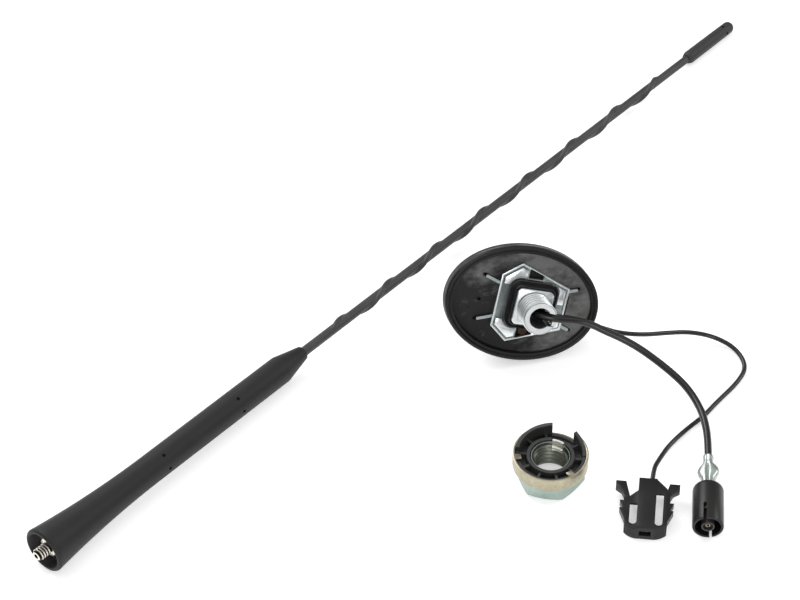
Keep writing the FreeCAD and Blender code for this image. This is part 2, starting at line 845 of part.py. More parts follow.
# Raised corners: what is left of a field inside the edge once the seal's bed and the ways between the
# corners are taken out, so that each one follows the seal with a hollow side.
PAD_TOP = f"{PLATE_FACE} - corner_pad_height"
pad_field = plate("pad_field", plate_outline("corner_pad_inset"), "corner_pad_height", PAD_TOP)
seal_bed = plate(
    "seal_bed",
    rounded_square("seal_across + 2 * corner_pad_gap", "seal_round + corner_pad_gap", "stud_offset"),
    "corner_pad_height",
    PAD_TOP,
)
left_way = block(
    "left_way",
    "left_pad_end - plate_left",
    "2 * left_pad_start",
    "corner_pad_height",
    x="(left_pad_end + plate_left) / 2",
    z=PAD_TOP,
)
middle_way = block(
    "middle_way",
    "right_pad_begin - left_pad_end",
    "2 * plate_shoulder_half",
    "corner_pad_height",
    x="(right_pad_begin + left_pad_end) / 2",
    z=PAD_TOP,
)
right_way = block(
    "right_way",
    "plate_right - left_pad_end",
    "2 * right_pad_start",
    "corner_pad_height",
    x="(plate_right + left_pad_end) / 2",
    z=PAD_TOP,
)
doc.recompute()
corner_pads = cut("corner_pads", pad_field, [seal_bed, left_way, middle_way, right_way])


def tab_bar(name, x, y, bearing, length, width, height, z):
    """Bar that starts at a root place and runs outwards on a bearing."""
    bar = made("Part::Box", name, Length=length, Width=width, Height=height)
    return at(
        bar,
        f"{x} + ({width}) / 2 * sin({bearing})",
        f"{y} - ({width}) / 2 * cos({bearing})",
        z,
        turn_axis=Vector(0, 0, 1),
        turn=bearing,
    )


def tab_bars(name, extra, width, z):
    """Bars at the four tabs of the plate, longer than the tabs by an extra length."""
    bars = []
    for end, inwards, ahead in (("left", "+", "180 - "), ("right", "-", "")):
        for side, mark in SIDES:
            bars.append(
                tab_bar(
                    f"{name}_{end}_{mark}",
                    f"plate_{end} {inwards} tab_root",
                    f"{side} * {end}_tab_half",
                    f"{ahead}{side} * tab_spread",
                    f"{end}_tab_length + tab_root + {extra}",
                    width,
                    "tab_thickness",
                    z,
                )
            )
    return bars


tabs = tab_bars("tab", "0", "tab_width", PLATE_FACE)
platform = block(
    "platform",
    "platform_length",
    "platform_width",
    "pad_thickness",
    x="stud_offset",
    z="lip_height",
)
shoulder = plate(
    "shoulder",
    rounded_square("shoulder_across", "shoulder_round", "stud_offset"),
    "shoulder_height",
    f"{PLATE_FACE} - shoulder_height",
)
STUD_ROOT = f"{PLATE_FACE} - shoulder_height"
stud_barrel = turned(
    "stud_barrel",
    [
        ("0", f"{STUD_ROOT} - roof_stud_length"),
        ("roof_stud_diameter / 2 - roof_stud_chamfer", f"{STUD_ROOT} - roof_stud_length"),
        ("roof_stud_diameter / 2", f"{STUD_ROOT} - roof_stud_length + roof_stud_chamfer"),
        ("roof_stud_diameter / 2", STUD_ROOT),
        ("0", STUD_ROOT),
    ],
)
at(stud_barrel, "stud_offset")
stud_bore = rod(
    "stud_bore",
    "roof_stud_bore",
    "roof_stud_length + shoulder_height + plate_thickness + pad_thickness",
    x="stud_offset",
    z=f"{STUD_ROOT} - roof_stud_length",
)
lead_slot = block(
    "lead_slot",
    "roof_stud_diameter / 2 + slot_run_out",
    "roof_stud_slot",
    "roof_stud_slot_depth",
    x="stud_offset + (roof_stud_diameter / 2 + slot_run_out) / 2",
    z=f"{STUD_ROOT} - roof_stud_length",
)
WINDOW_DEPTH = "plate_edge_height + plate_thickness"
window_field = plate("window_field", plate_outline("window_rim"), WINDOW_DEPTH, EDGE_TOP)
windows = []
for side, mark in SIDES:
    opening = block(
        f"plate_opening_{mark}",
        "window_length",
        "window_reach",
        WINDOW_DEPTH,
        x="window_start + window_length / 2",
        y=f"{side} * (window_inner + window_reach / 2)",
        z=EDGE_TOP,
    )
    window = doc.addObject("Part::MultiCommon", f"plate_window_{mark}")
    window.Shapes = [opening, window_field]
    windows.append(window)
doc.recompute()
casting_blank = fused(
    "casting_blank", [flange, plate_edge, corner_pads, *tabs, platform, shoulder, stud_barrel]
)
keep(cut("casting", casting_blank, [stud_bore, lead_slot, *windows]), "roof_stud", foot_frame)

# Sealing pad: oval moulding with a standing lip, let in round the casting and slotted for its tabs.
pad_slab = made("Part::Extrusion", "pad_slab", LengthFwd="lip_height + pad_thickness")
pad_slab.Base = oval("pad_oval", "oval_length", "oval_width", "0", "0")
pad_dish = made("Part::Extrusion", "pad_dish", LengthFwd="lip_height")
pad_dish.Base = oval("dish_oval", "oval_length - 2 * lip_width", "oval_width - 2 * lip_width", "0", "0")
for extrusion in (pad_slab, pad_dish):
    extrusion.DirMode = "Custom"
    extrusion.Dir = Vector(0, 0, 1)
    extrusion.Solid = True
platform_hole = block(
    "platform_hole",
    "platform_length + 2 * fit_gap",
    "platform_width + 2 * fit_gap",
    "pad_thickness",
    x="stud_offset",
    z="lip_height",
)
choke_hole = block(
    "choke_hole",
    "window_length",
    "choke_hole_reach",
    "pad_thickness",
    x="window_start + window_length / 2",
    y="(platform_width + choke_hole_reach) / 2",
    z="lip_height",
)
pad_pit = block(
    "pad_pit",
    "window_length",
    "choke_hole_reach",
    "pad_pit_depth",
    x="window_start + window_length / 2",
    y="-(platform_width + choke_hole_reach) / 2",
    z="lip_height",
)
edge_slot = block(
    "edge_slot",
    "edge_slot_width",
    "edge_slot_length",
    "tab_thickness",
    x="plate_right + edge_slot_width / 2",
    z="lip_height",
)
tab_slots = tab_bars("tab_slot", "tab_slot_extra", "tab_slot_width", "lip_height")
doc.recompute()
pad_cut = cut("pad_cut", pad_slab, [pad_dish, platform_hole, choke_hole, pad_pit, edge_slot, *tab_slots])
pad = doc.addObject("Part::Fillet", "pad")
pad.Base = pad_cut
lip_edges = [
    (number, size("lip_round"), size("lip_round"))
    for number, edge in enumerate(pad_cut.Shape.Edges, start=1)
    if edge.BoundBox.ZMax < size("lip_round")
]
pad.Edges = lip_edges
doc.recompute()
if len(lip_edges) != 2 or not pad.Shape.Volume < pad_cut.Shape.Volume:
    raise ValueError("the lip of the pad is not rounded")
keep(pad, "sealing_pad", foot_frame)

# Square seal: rubber ring on the plate with a low lip outside and a higher one against the shoulder.
SEAL_TOP = f"{PLATE_FACE} - seal_height"
LIP_TOP = f"{SEAL_TOP} - seal_lip_height"


def seal_form(name, inset, height, z=SEAL_TOP):
    """Rounded square prism round the shoulder, drawn in from the seal's outside by an inset."""
    square = rounded_square(f"seal_across - 2 * {inset}", f"seal_round - {inset}", "stud_offset")
    return plate(name, square, height, z)


seal_base = seal_form("seal_base", "0", "seal_height")
seal_lip = seal_form("seal_lip", "(seal_width - seal_lip_width)", "seal_lip_height", LIP_TOP)
seal_blank = fused("seal_blank", [seal_base, seal_lip])
seal_hole = seal_form("seal_hole", "seal_width", "seal_height + seal_lip_height", LIP_TOP)
groove_outside = seal_form(
    "groove_outside", "((seal_width - seal_groove_width) / 2)", "seal_groove_depth"
)
groove_inside = seal_form(
    "groove_inside", "((seal_width + seal_groove_width) / 2)", "seal_groove_depth"
)
seal_groove = cut("seal_groove", groove_outside, [groove_inside])
keep(cut("seal", seal_blank, [seal_hole, seal_groove]), "square_seal", foot_frame)

# Amplifier board, lying on the pad inside the hump, with a choke below it and parts above it.
BOARD_FACE = "lip_height + pad_thickness"
board_bore = rod("board_bore", "roof_stud_bore", "board_thickness", x="stud_offset", z=BOARD_FACE)
board_blank = block("board_blank", "board_length", "board_width", "board_thickness", x="0", z=BOARD_FACE)
keep(cut("board", board_blank, [board_bore]), "amplifier_board", foot_frame)


keep(
    rod("choke", "choke_diameter", "choke_height", "choke_x", "choke_y", f"{BOARD_FACE} - choke_height"),
    "input_choke",
    foot_frame,
)
TOP_FACE = f"{BOARD_FACE} + board_thickness"
keep(
    block("chip", "chip_length", "chip_width", "chip_height", "chip_x", "-chip_width", TOP_FACE),
    "amplifier_chip",
    foot_frame,
)
keep(
    rod("coil", "coil_diameter", "coil_height", "coil_x", "coil_y", TOP_FACE), "filter_coil", foot_frame
)

# Contact strip from the board to the mast socket's inner end, bent from sheet.
SOCKET_END = "(socket_length - boss_height)"
END_X = f"(seat_offset - {SOCKET_END} * sin(seat_rake))"
END_Z = f"(foot_height - {SOCKET_END} * cos(seat_rake))"
HALF_X = "(strip_thickness / 2 * cos(seat_rake))"
HALF_Z = "(strip_thickness / 2 * sin(seat_rake))"
FOOT_TOP = f"({TOP_FACE} + strip_thickness)"
OUTER_FOOT = f"({END_X} - {HALF_X} - ({END_Z} + {HALF_Z} - {FOOT_TOP}) * tan(seat_rake))"
INNER_FOOT = f"({END_X} + {HALF_X} - ({END_Z} - {HALF_Z} - ({TOP_FACE})) * tan(seat_rake))"
strip = plate(
    "strip",
    [
        (f"{END_X} - {HALF_X}", f"{END_Z} + {HALF_Z}"),
        (OUTER_FOOT, FOOT_TOP),
        (f"{OUTER_FOOT} - strip_foot", FOOT_TOP),
        (f"{OUTER_FOOT} - strip_foot", TOP_FACE),
        (INNER_FOOT, TOP_FACE),
        (f"{END_X} + {HALF_X}", f"{END_Z} - {HALF_Z}"),
    ],
    "strip_width",
    "-strip_width / 2",
    "XZ_Plane",
)
keep(strip, "contact_strip", foot_frame)

# Clamp nut: hexagon with a threaded bore and a collar that the claw ring turns on. The collar's mouth is
# sunk wide, and one part of it is staked upwards.
nut_frame = FreeCAD.Placement(Vector(size("nut_x"), size("nut_y"), 0), FreeCAD.Rotation())
nut_hexagon = hexagon("nut_hexagon", "nut_across", "nut_height", "0")
at(nut_hexagon, turn_axis=Vector(0, 0, 1), turn="nut_turn")
NUT_CORNER = "nut_across / sqrt(3)"
nut_rounding = turned(
    "nut_rounding",
    [
        ("0", "0"),
        ("nut_face_diameter / 2", "0"),
        (NUT_CORNER, f"({NUT_CORNER} - nut_face_diameter / 2) * tan(nut_chamfer_angle)"),
        (NUT_CORNER, "nut_height"),
        ("0", "nut_height"),
    ],
)
nut_form = doc.addObject("Part::Common", "nut_form")
nut_form.Base = nut_hexagon
nut_form.Tool = nut_rounding
collar = rod("collar", "collar_diameter", "collar_height", z="nut_height")
COLLAR_TOP = "nut_height + collar_height"
nut_hole = turned(
    "nut_hole",
    [
        ("0", "0"),
        ("nut_bore / 2 + nut_lead_in", "0"),
        ("nut_bore / 2", "nut_lead_in"),
        ("nut_bore / 2", f"{COLLAR_TOP} - collar_sink_depth"),
        ("nut_bore / 2 + collar_sink", COLLAR_TOP),
        ("0", COLLAR_TOP),
    ],
)
STAKE_HEIGHT = "(collar_sink_depth + stake_rise)"
STAKE_FOOT = f"{COLLAR_TOP} - collar_sink_depth"
doc.recompute()
stake = cut(
    "stake",
    pie("stake_outside", "collar_diameter", STAKE_HEIGHT, "stake_start", "stake_span", STAKE_FOOT),
    [rod("stake_inside", "collar_diameter - 2 * stake_wall", STAKE_HEIGHT, z=STAKE_FOOT)],
)
bored_nut = cut("bored_nut", fused("nut_blank", [nut_form, collar]), [nut_hole])
keep(fused("nut", [bored_nut, stake]), "hex_nut", nut_frame)

# Claw ring: pressed metal cup that swivels on the collar, open at one side, with two tabs bent inwards.
RING_BASE = "nut_height + swivel_gap"
ring_cup = turned(
    "ring_cup",
    [
        ("collar_diameter / 2 + running_gap", RING_BASE),
        ("ring_diameter / 2 - ring_bend", RING_BASE, "ring_bend", 1),
        ("ring_diameter / 2", f"{RING_BASE} + ring_bend"),
        ("ring_diameter / 2", f"{RING_BASE} + ring_height"),
        ("ring_diameter / 2 - ring_wall", f"{RING_BASE} + ring_height"),
        ("ring_diameter / 2 - ring_wall", f"{RING_BASE} + ring_floor"),
        ("collar_diameter / 2 + running_gap", f"{RING_BASE} + ring_floor"),
    ],
)
GAP_FLOOR = f"{RING_BASE} + ring_gap_floor"
ring_gap = pie("ring_gap", "2 * ring_diameter", "ring_height", "ring_gap_start", "ring_gap_span", GAP_FLOOR)


def round_bar(name, length, width, height, start, bearing, z):
    """Bar that runs outwards from a start radius on a bearing round the nut."""
    bar = made("Part::Box", name, Length=length, Width=width, Height=height)
    return at(
        bar,
        f"{start} * cos({bearing}) + {width} / 2 * sin({bearing})",
        f"{start} * sin({bearing}) - {width} / 2 * cos({bearing})",
        z,
        turn_axis=Vector(0, 0, 1),
        turn=bearing,
    )


ring_tabs = [
    round_bar(
        f"{end}_tab_bent",
        "ring_tab_reach",
        "ring_tab_width",
        "ring_tab_thickness",
        "(ring_diameter / 2 - ring_wall / 2 - ring_tab_reach)",
        f"{end}_tab_angle",
        f"{RING_BASE} + ring_height - ring_tab_thickness",
    )
    for end in ("left", "front")
]
doc.recompute()
ring_open = cut("ring_open", ring_cup, [ring_gap])
keep(fused("ring", [ring_open, *ring_tabs]), "claw_ring", nut_frame)

# Centring insert: black moulding pressed into the ring, an open ribbed channel with two sloping claws.
INSERT_BASE = f"{RING_BASE} + ring_floor"
INSERT_TOP = f"{RING_BASE} + ring_height - insert_drop - ring_tab_thickness"
INSERT_RADIUS = "ring_diameter / 2 - ring_wall - fit_gap"
INSERT_BORE = "collar_diameter / 2 + insert_gap"
channel = turned(
    "channel",
    [
        (INSERT_BORE, INSERT_BASE),
        (INSERT_RADIUS, INSERT_BASE),
        (INSERT_RADIUS, INSERT_TOP),
        (f"{INSERT_RADIUS} - insert_wall", INSERT_TOP),
        (f"{INSERT_RADIUS} - insert_wall", f"{INSERT_BASE} + insert_web"),
        (f"{INSERT_BORE} + insert_ring_wall", f"{INSERT_BASE} + insert_web"),
        (f"{INSERT_BORE} + insert_ring_wall", INSERT_TOP),
        (INSERT_BORE, INSERT_TOP),
    ],
)
channel_gap = pie(
    "channel_gap",
    "2 * ring_diameter",
    "ring_height + claw_rise",
    "ring_gap_start",
    "ring_gap_span",
    f"{INSERT_BASE} + insert_web + insert_gap_step",
)
channel_open = cut("channel_open", channel, [channel_gap])
RIB_START = f"({INSERT_BORE} + insert_ring_wall - insert_rib_root)"
RIB_END = f"({INSERT_RADIUS} - insert_wall + insert_rib_root)"
FIRST_RIB = "ring_gap_start + ring_gap_span + insert_rib_margin"
RIB_SPACING = "(360 - ring_gap_span - 2 * insert_rib_margin) / (insert_rib_count - 1)"
ribs = [
    round_bar(
        f"rib_{number}",
        f"{RIB_END} - {RIB_START}",
        "insert_rib_width",
        f"{INSERT_TOP} - ({INSERT_BASE}) - insert_rib_drop",
        RIB_START,
        f"({FIRST_RIB} + {number} * {RIB_SPACING})",
        INSERT_BASE,
    )
    for number in range(int(size("insert_rib_count")))
]
claws = []
for name, start, span, way in (
    ("left_claw", "ring_gap_start + ring_gap_span", "left_claw_span", 1),
    ("right_claw", "ring_gap_start - right_claw_span", "right_claw_span", -1),
):
    rise = "ring_height + claw_rise"
    wall = cut(
        f"{name}_wall",
        pie(f"{name}_outside", f"2 * ({INSERT_RADIUS})", rise, start, span, INSERT_BASE),
        [rod(f"{name}_inside", f"2 * ({INSERT_RADIUS} - insert_wall)", rise, z=INSERT_BASE)],
    )
    peak = start if way > 0 else f"{start} + {span}"
    top = f"{RING_BASE} + ring_height + claw_rise"
    fall = "claw_rise + insert_drop + ring_tab_thickness"
    run = f"ring_diameter / 2 * sin({span})" if way < 0 else "ring_diameter"
    slope = made("Part::Box", f"{name}_slope", Length="2 * ring_diameter", Width="2 * ring_diameter")
    slope.setExpression("Height", on_sheet("ring_diameter"))
    bearing = math.radians(size(peak) + way * 90)
    tilt = math.atan2(size(fall), size(run))
    hinge = Vector(math.cos(math.radians(size(peak))), math.sin(math.radians(size(peak))), 0)
    away = Vector(math.cos(bearing), math.sin(bearing), 0)
    falling = away * math.cos(tilt) - Vector(0, 0, math.sin(tilt))
    normal = away * math.sin(tilt) + Vector(0, 0, math.cos(tilt))
    side = normal.cross(falling)
    slope.Placement = FreeCAD.Placement(
        hinge * size("ring_diameter / 2")
        + Vector(0, 0, size(top))
        - falling * size("ring_diameter")
        - side * size("ring_diameter"),
        FreeCAD.Rotation(falling, side, normal, "ZXY"),
    )
    claws.append(cut(name, wall, [slope]))
keep(fused("insert", [channel_open, *ribs, *claws]), "centring_insert", nut_frame)

# Plug frame: local Z points out of the mouth, which faces the front; the plug lies on the table.
plug_bearing = math.radians(size("plug_turn") + 180)
plug_out = Vector(math.cos(plug_bearing), math.sin(plug_bearing), 0)
plug_axes = FreeCAD.Rotation(plug_out.cross(Vector(0, 0, 1)) * -1, Vector(0, 0, 1), plug_out, "ZYX")
plug_frame = FreeCAD.Placement(
    Vector(size("plug_x"), size("plug_y"), size("plug_diameter / 2")),
    plug_axes.multiply(FreeCAD.Rotation(Vector(0, 0, 1), size("plug_roll"))),
)

# Plug sleeve: moulded tube with a rounded back, a key slot on top and a split below the mouth.
sleeve_blank = turned(
    "sleeve_blank",
    [
        ("ferrule_neck_width / 2", "-plug_length"),
        ("plug_diameter / 2 - plug_shoulder_round", "-plug_length", "plug_shoulder_round", 1),
        ("plug_diameter / 2", "plug_shoulder_round - plug_length"),
        ("plug_diameter / 2", "-plug_mouth_chamfer"),
        ("plug_diameter / 2 - plug_mouth_chamfer", "0"),
        ("plug_diameter / 2 - plug_wall", "0"),
        ("plug_diameter / 2 - plug_wall", "-plug_depth"),
        ("plug_shell_diameter / 2 + fit_gap", "-plug_depth"),
        ("plug_shell_diameter / 2 + fit_gap", "plug_shoulder_round - plug_length"),
        ("ferrule_neck_width / 2", "plug_shoulder_round - plug_length"),
    ],
)
key_slot = block(
    "key_slot",
    "plug_key_width",
    "plug_slot_reach",
    "plug_key_length",
    y="plug_diameter / 2",
    z="-plug_key_length",
)
split_slot = block(
    "split_slot",
    "plug_split_width",
    "plug_slot_reach",
    "plug_split_length",
    y="-plug_diameter / 2",
    z="-plug_split_length",
)
doc.recompute()
keep(cut("sleeve", sleeve_blank, [key_slot, split_slot]), "plug_sleeve", plug_frame)

# Plug inner parts: drawn metal shell, moulded insulator and the sprung pin contact.
SHELL_BACK = "(plug_shoulder_round - plug_length)"
shell = turned(
    "shell",
    [
        ("plug_shell_diameter / 2 - plug_shell_wall", SHELL_BACK),
        ("plug_shell_diameter / 2", SHELL_BACK),
        ("plug_shell_diameter / 2", "-plug_shell_inset"),
        ("plug_shell_diameter / 2 - plug_shell_wall", "-plug_shell_inset"),
    ],
)
keep(shell, "plug_shell", plug_frame)
insulator = turned(
    "insulator",
    [
        ("plug_pin_diameter / 2 + fit_gap", SHELL_BACK),
        ("plug_shell_diameter / 2 - plug_shell_wall - fit_gap", SHELL_BACK),
        ("plug_shell_diameter / 2 - plug_shell_wall - fit_gap", "-plug_depth"),
        ("plug_core_diameter / 2", "-plug_depth"),
        ("plug_core_diameter / 2", "-plug_core_inset"),
        ("plug_core_diameter / 2 - plug_core_wall", "-plug_core_inset"),
        ("plug_core_diameter / 2 - plug_core_wall", "-plug_core_inset - plug_core_recess"),
        ("plug_pin_diameter / 2 + fit_gap", "-plug_core_inset - plug_core_recess"),
    ],
)
keep(insulator, "plug_insulator", plug_frame)
pin = turned(
    "pin",
    [
        ("0", SHELL_BACK),
        ("plug_pin_diameter / 2", SHELL_BACK),
        ("plug_pin_diameter / 2", "-plug_core_inset - plug_core_recess / 2"),
        ("plug_pin_bore / 2", "-plug_core_inset - plug_core_recess / 2"),
        ("plug_pin_bore / 2", "-plug_depth"),
        ("0", "-plug_depth"),
    ],
)
keep(pin, "plug_pin", plug_frame)

# Crimp ferrule: sheet metal barrel round the lead, with two rounded ears behind the sleeve.
FERRULE_BACK = "(-plug_length - ferrule_length)"
ferrule_barrel = rod("ferrule_barrel", "ferrule_barrel_diameter", "ferrule_length", z=FERRULE_BACK)
ferrule_neck = rod(
    "ferrule_neck",
    "ferrule_neck_width - 2 * fit_gap",
    "plug_shoulder_round",
    z="-plug_length",
)
EAR_ROOT = "-plug_length - ferrule_ear_root"
ferrule_ears = plate(
    "ferrule_ears",
    [
        ("-ferrule_neck_width / 2", "-plug_length"),
        ("ferrule_neck_width / 2", "-plug_length"),
        ("ferrule_neck_width / 2", EAR_ROOT, "ferrule_ear_round", -1),
        ("ferrule_barrel_diameter / 2", "-plug_length - ferrule_ear_length"),
        ("-ferrule_barrel_diameter / 2", "-plug_length - ferrule_ear_length", "ferrule_ear_round", -1),
        ("-ferrule_neck_width / 2", EAR_ROOT),
    ],
    "ferrule_ear_thickness",
    "-ferrule_ear_thickness / 2",
    "XZ_Plane",
)
lead_bore = rod("lead_bore", "aerial_lead_diameter + 2 * fit_gap", "ferrule_grip", z=FERRULE_BACK)
doc.recompute()
ferrule_blank = fused("ferrule_blank", [ferrule_barrel, ferrule_ears, ferrule_neck])
keep(cut("ferrule", ferrule_blank, [lead_bore]), "crimp_ferrule", plug_frame)

# Socket housing frame: local Y points from the nose back along the lead, local X to the right from above.
latch_bearing = math.radians(size("latch_turn"))
latch_back = Vector(math.cos(latch_bearing), math.sin(latch_bearing), 0)
latch_frame = FreeCAD.Placement(
    Vector(size("latch_x"), size("latch_y"), 0),
    FreeCAD.Rotation(Vector(), latch_back, Vector(0, 0, 1), "ZYX"),
)

# Socket housing: flat moulding with a round nose, two through windows and a sprung, barbed arm each side.
BACK = "(latch_length / 2)"
NOSE = "(-latch_length / 2)"
FIRST_BARB = f"({BACK} - first_barb)"
SECOND_BARB = f"({BACK} - first_barb - barb_spacing)"
NOSE_START = f"({NOSE} + nose_length)"
ARM_FLOOR = "latch_thickness - latch_arm_thickness - latch_arm_drop"


def barbed_side(side):
    """Outline of one arm from its root to the nose, with two barbs whose flats face the lead."""
    return [
        (f"{side} * arm_half", FIRST_BARB),
        (f"{side} * barb_half", FIRST_BARB),
        (f"{side} * (arm_half + barb_relief)", f"{SECOND_BARB} + barb_step"),
        (f"{side} * (arm_half + barb_relief)", SECOND_BARB),
        (f"{side} * barb_half", SECOND_BARB),
        (f"{side} * nose_half", NOSE_START),
    ]


arm_plate = plate(
    "arm_plate",
    [
        ("-spine_width / 2", BACK),
        ("spine_width / 2", BACK),
        ("right_shoulder_half", f"{BACK} - right_shoulder"),
        ("arm_half", f"{BACK} - left_notch"),
        *barbed_side(1),
        ("-nose_half", NOSE_START),
        *list(reversed(barbed_side(-1)))[1:],
        ("-arm_half", f"{BACK} - left_notch"),
        ("-notch_half", f"{BACK} - left_notch"),
        ("-spine_width / 2", f"{BACK} - left_shoulder"),
    ],
    "latch_arm_thickness",
    ARM_FLOOR,
)
FINGER_ROOT = f"{BACK} - left_notch - finger_root"
FINGER_END = f"{BACK} - finger_back"
fingers = [
    plate(
        f"{mark}_finger",
        [
            (f"{side} * notch_half", FINGER_ROOT),
            (f"{side} * (finger_reach - finger_width)", FINGER_END),
            (f"{side} * finger_reach", FINGER_END),
            (f"{side} * finger_reach", f"{FINGER_END} - finger_depth"),
            (f"{side} * (notch_half + finger_stem + finger_flare)", f"{FINGER_END} - finger_heel"),
            (f"{side} * (notch_half + finger_stem)", FINGER_ROOT),
        ],
        "latch_arm_thickness",
        ARM_FLOOR,
    )
    for side, mark in ((-1, "left"), (1, "right"))
]
spine = block(
    "spine", "spine_width", "latch_length - spine_setback", "latch_thickness", y="spine_setback / 2"
)
nose = plate(
    "nose",
    [
        ("-nose_half", NOSE_START),
        ("-nose_half", f"{NOSE_START} - nose_flank", "nose_round", 1),
        ("-spine_width / 2", NOSE),
        ("spine_width / 2", NOSE, "nose_round", 1),
        ("nose_half", f"{NOSE_START} - nose_flank"),
        ("nose_half", NOSE_START),
    ],
    "latch_thickness",
)
WINDOW_X = "(spine_width / 2 + window_width / 2)"
WINDOW_END = f"{BACK} - window_end"
latch_windows = []
for side, mark in ((-1, "left"), (1, "right")):
    through = block(
        f"{mark}_window",
        "window_width",
        f"{mark}_window_length",
        "latch_thickness",
        f"{side} * {WINDOW_X}",
        f"{WINDOW_END} + {mark}_window_length / 2",
    )
    relief = block(
        f"{mark}_relief",
        "window_width",
        f"{mark}_window_length + window_relief",
        "latch_arm_thickness - window_web",
        f"{side} * {WINDOW_X}",
        f"{WINDOW_END} + ({mark}_window_length + window_relief) / 2",
        ARM_FLOOR,
    )
    latch_windows += [through, relief]
MOUTH_FLOOR = "(latch_thickness - mouth_height) / 2"
mouth = block(
    "mouth", "mouth_width", "mouth_depth", "mouth_height", y=f"{NOSE} + mouth_depth / 2", z=MOUTH_FLOOR
)
wire_hole = block(
    "wire_hole",
    "supply_lead_diameter + 2 * fit_gap",
    "latch_length - mouth_depth",
    "supply_lead_diameter + 2 * fit_gap",
    x="wire_offset",
    y="mouth_depth / 2",
    z="latch_thickness / 2 - supply_lead_diameter / 2 - fit_gap",
)
doc.recompute()
latch_blank = fused("latch_blank", [arm_plate, *fingers, spine, nose])
keep(cut("latch", latch_blank, [*latch_windows, mouth, wire_hole]), "socket_housing", latch_frame)

# Socket contact: receptacle folded from sheet, open above between its two lips, on the mouth's floor.
CONTACT_TOP = f"({MOUTH_FLOOR} + contact_height)"
contact = plate(
    "contact",
    [
        ("-contact_width / 2", MOUTH_FLOOR),
        ("contact_width / 2", MOUTH_FLOOR),
        ("contact_width / 2", CONTACT_TOP),
        ("contact_gap / 2", CONTACT_TOP),
        ("contact_gap / 2", f"{CONTACT_TOP} - contact_sheet"),
        ("contact_width / 2 - contact_sheet", f"{CONTACT_TOP} - contact_sheet"),
        ("contact_width / 2 - contact_sheet", f"{MOUTH_FLOOR} + contact_sheet"),
        ("contact_sheet - contact_width / 2", f"{MOUTH_FLOOR} + contact_sheet"),
        ("contact_sheet - contact_width / 2", f"{CONTACT_TOP} - contact_sheet"),
        ("-contact_gap / 2", f"{CONTACT_TOP} - contact_sheet"),
        ("-contact_gap / 2", CONTACT_TOP),
        ("-contact_width / 2", CONTACT_TOP),
    ],
    "contact_length",
    f"-({NOSE} + mouth_depth)",
    "XZ_Plane",
)
keep(contact, "socket_contact", latch_frame)


# Leads: round tubes along straight runs with tangent arcs, from the stud's bore to their connectors.
def foot_point(x, y, z):
    return foot_frame.multVec(Vector(x, y, z))


corner_share = 0.45


def lead(label, points, diameter):
    """Solid tube along a route, each corner rounded over a share of its shorter run."""
    edges, radii = [], []
    start = points[0]
    for before, corner, after in zip(points, points[1:], points[2:]):
        back, ahead = (before - corner), (after - corner)
        turn = math.pi - back.getAngle(ahead)
        trim = corner_share * min(back.Length, ahead.Length)
        radius = trim / math.tan(turn / 2)
        radii.append(round(radius, 1))
        enter = corner + back.normalize() * trim
        leave = corner + ahead.normalize() * trim
        inward = (back + ahead).normalize()
        middle = corner + inward * (radius / math.cos(turn / 2) - radius)
        edges += [Part.LineSegment(start, enter).toShape(), Part.Arc(enter, middle, leave).toShape()]
        start = leave
    edges.append(Part.LineSegment(start, points[-1]).toShape())
    path = Part.Wire(edges)
    ring = Part.Wire([Part.makeCircle(diameter / 2, points[0], points[1] - points[0])])
    tube = path.makePipeShell([ring], True, False)
    share = tube.Volume / (math.pi * diameter**2 / 4 * path.Length)
    print(label, "length", round(path.Length, 1), "radii", radii, "volume share", round(share, 4))
    thing = doc.addObject("Part::Feature", label)
    thing.Shape = tube
    return keep(thing, label)


def on_plug(reach):
    """Place on the plug's axis, behind its mouth."""
    return plug_frame.multVec(Vector(0, 0, -size(reach)))


def at_latch(reach):
    """Place on the wire's line in the socket housing, measured back from the housing's end."""
    spot = Vector(size("wire_offset"), size(f"{BACK} + {reach}"), size("latch_thickness / 2"))
    return latch_frame.multVec(spot)


# Route of the aerial lead: down the stud's bore, out of its slot, off the foot and round to the ferrule.
bore_x = size("stud_offset")
aerial_route = [
    foot_point(bore_x - 1.2, 0, 3.0),
    foot_point(bore_x - 1.2, 0, -6.0),
    foot_point(bore_x - 0.1, 0, -10.6),
    foot_point(bore_x + 4.7, 0, -12.6),
    foot_point(bore_x + 10.5, 0, -12.6),
    Vector(8.2, -21.3, 24.2),
    Vector(11.9, -26.2, 22.4),
    Vector(14.5, -31.1, 20.0),
    Vector(18.4, -38.0, 16.9),
    Vector(21.3, -45.7, 13.6),
    Vector(23.1, -57.4, 9.4),
    Vector(22.8, -67.6, 6.6),
    Vector(17.9, -78.4, 5.8),
    Vector(11.4, -86.5, 5.8),
    on_plug("plug_length + ferrule_length + aerial_run_out"),
    on_plug("plug_length + ferrule_length - ferrule_grip"),
]
lead("aerial_cable", aerial_route, size("aerial_lead_diameter"))

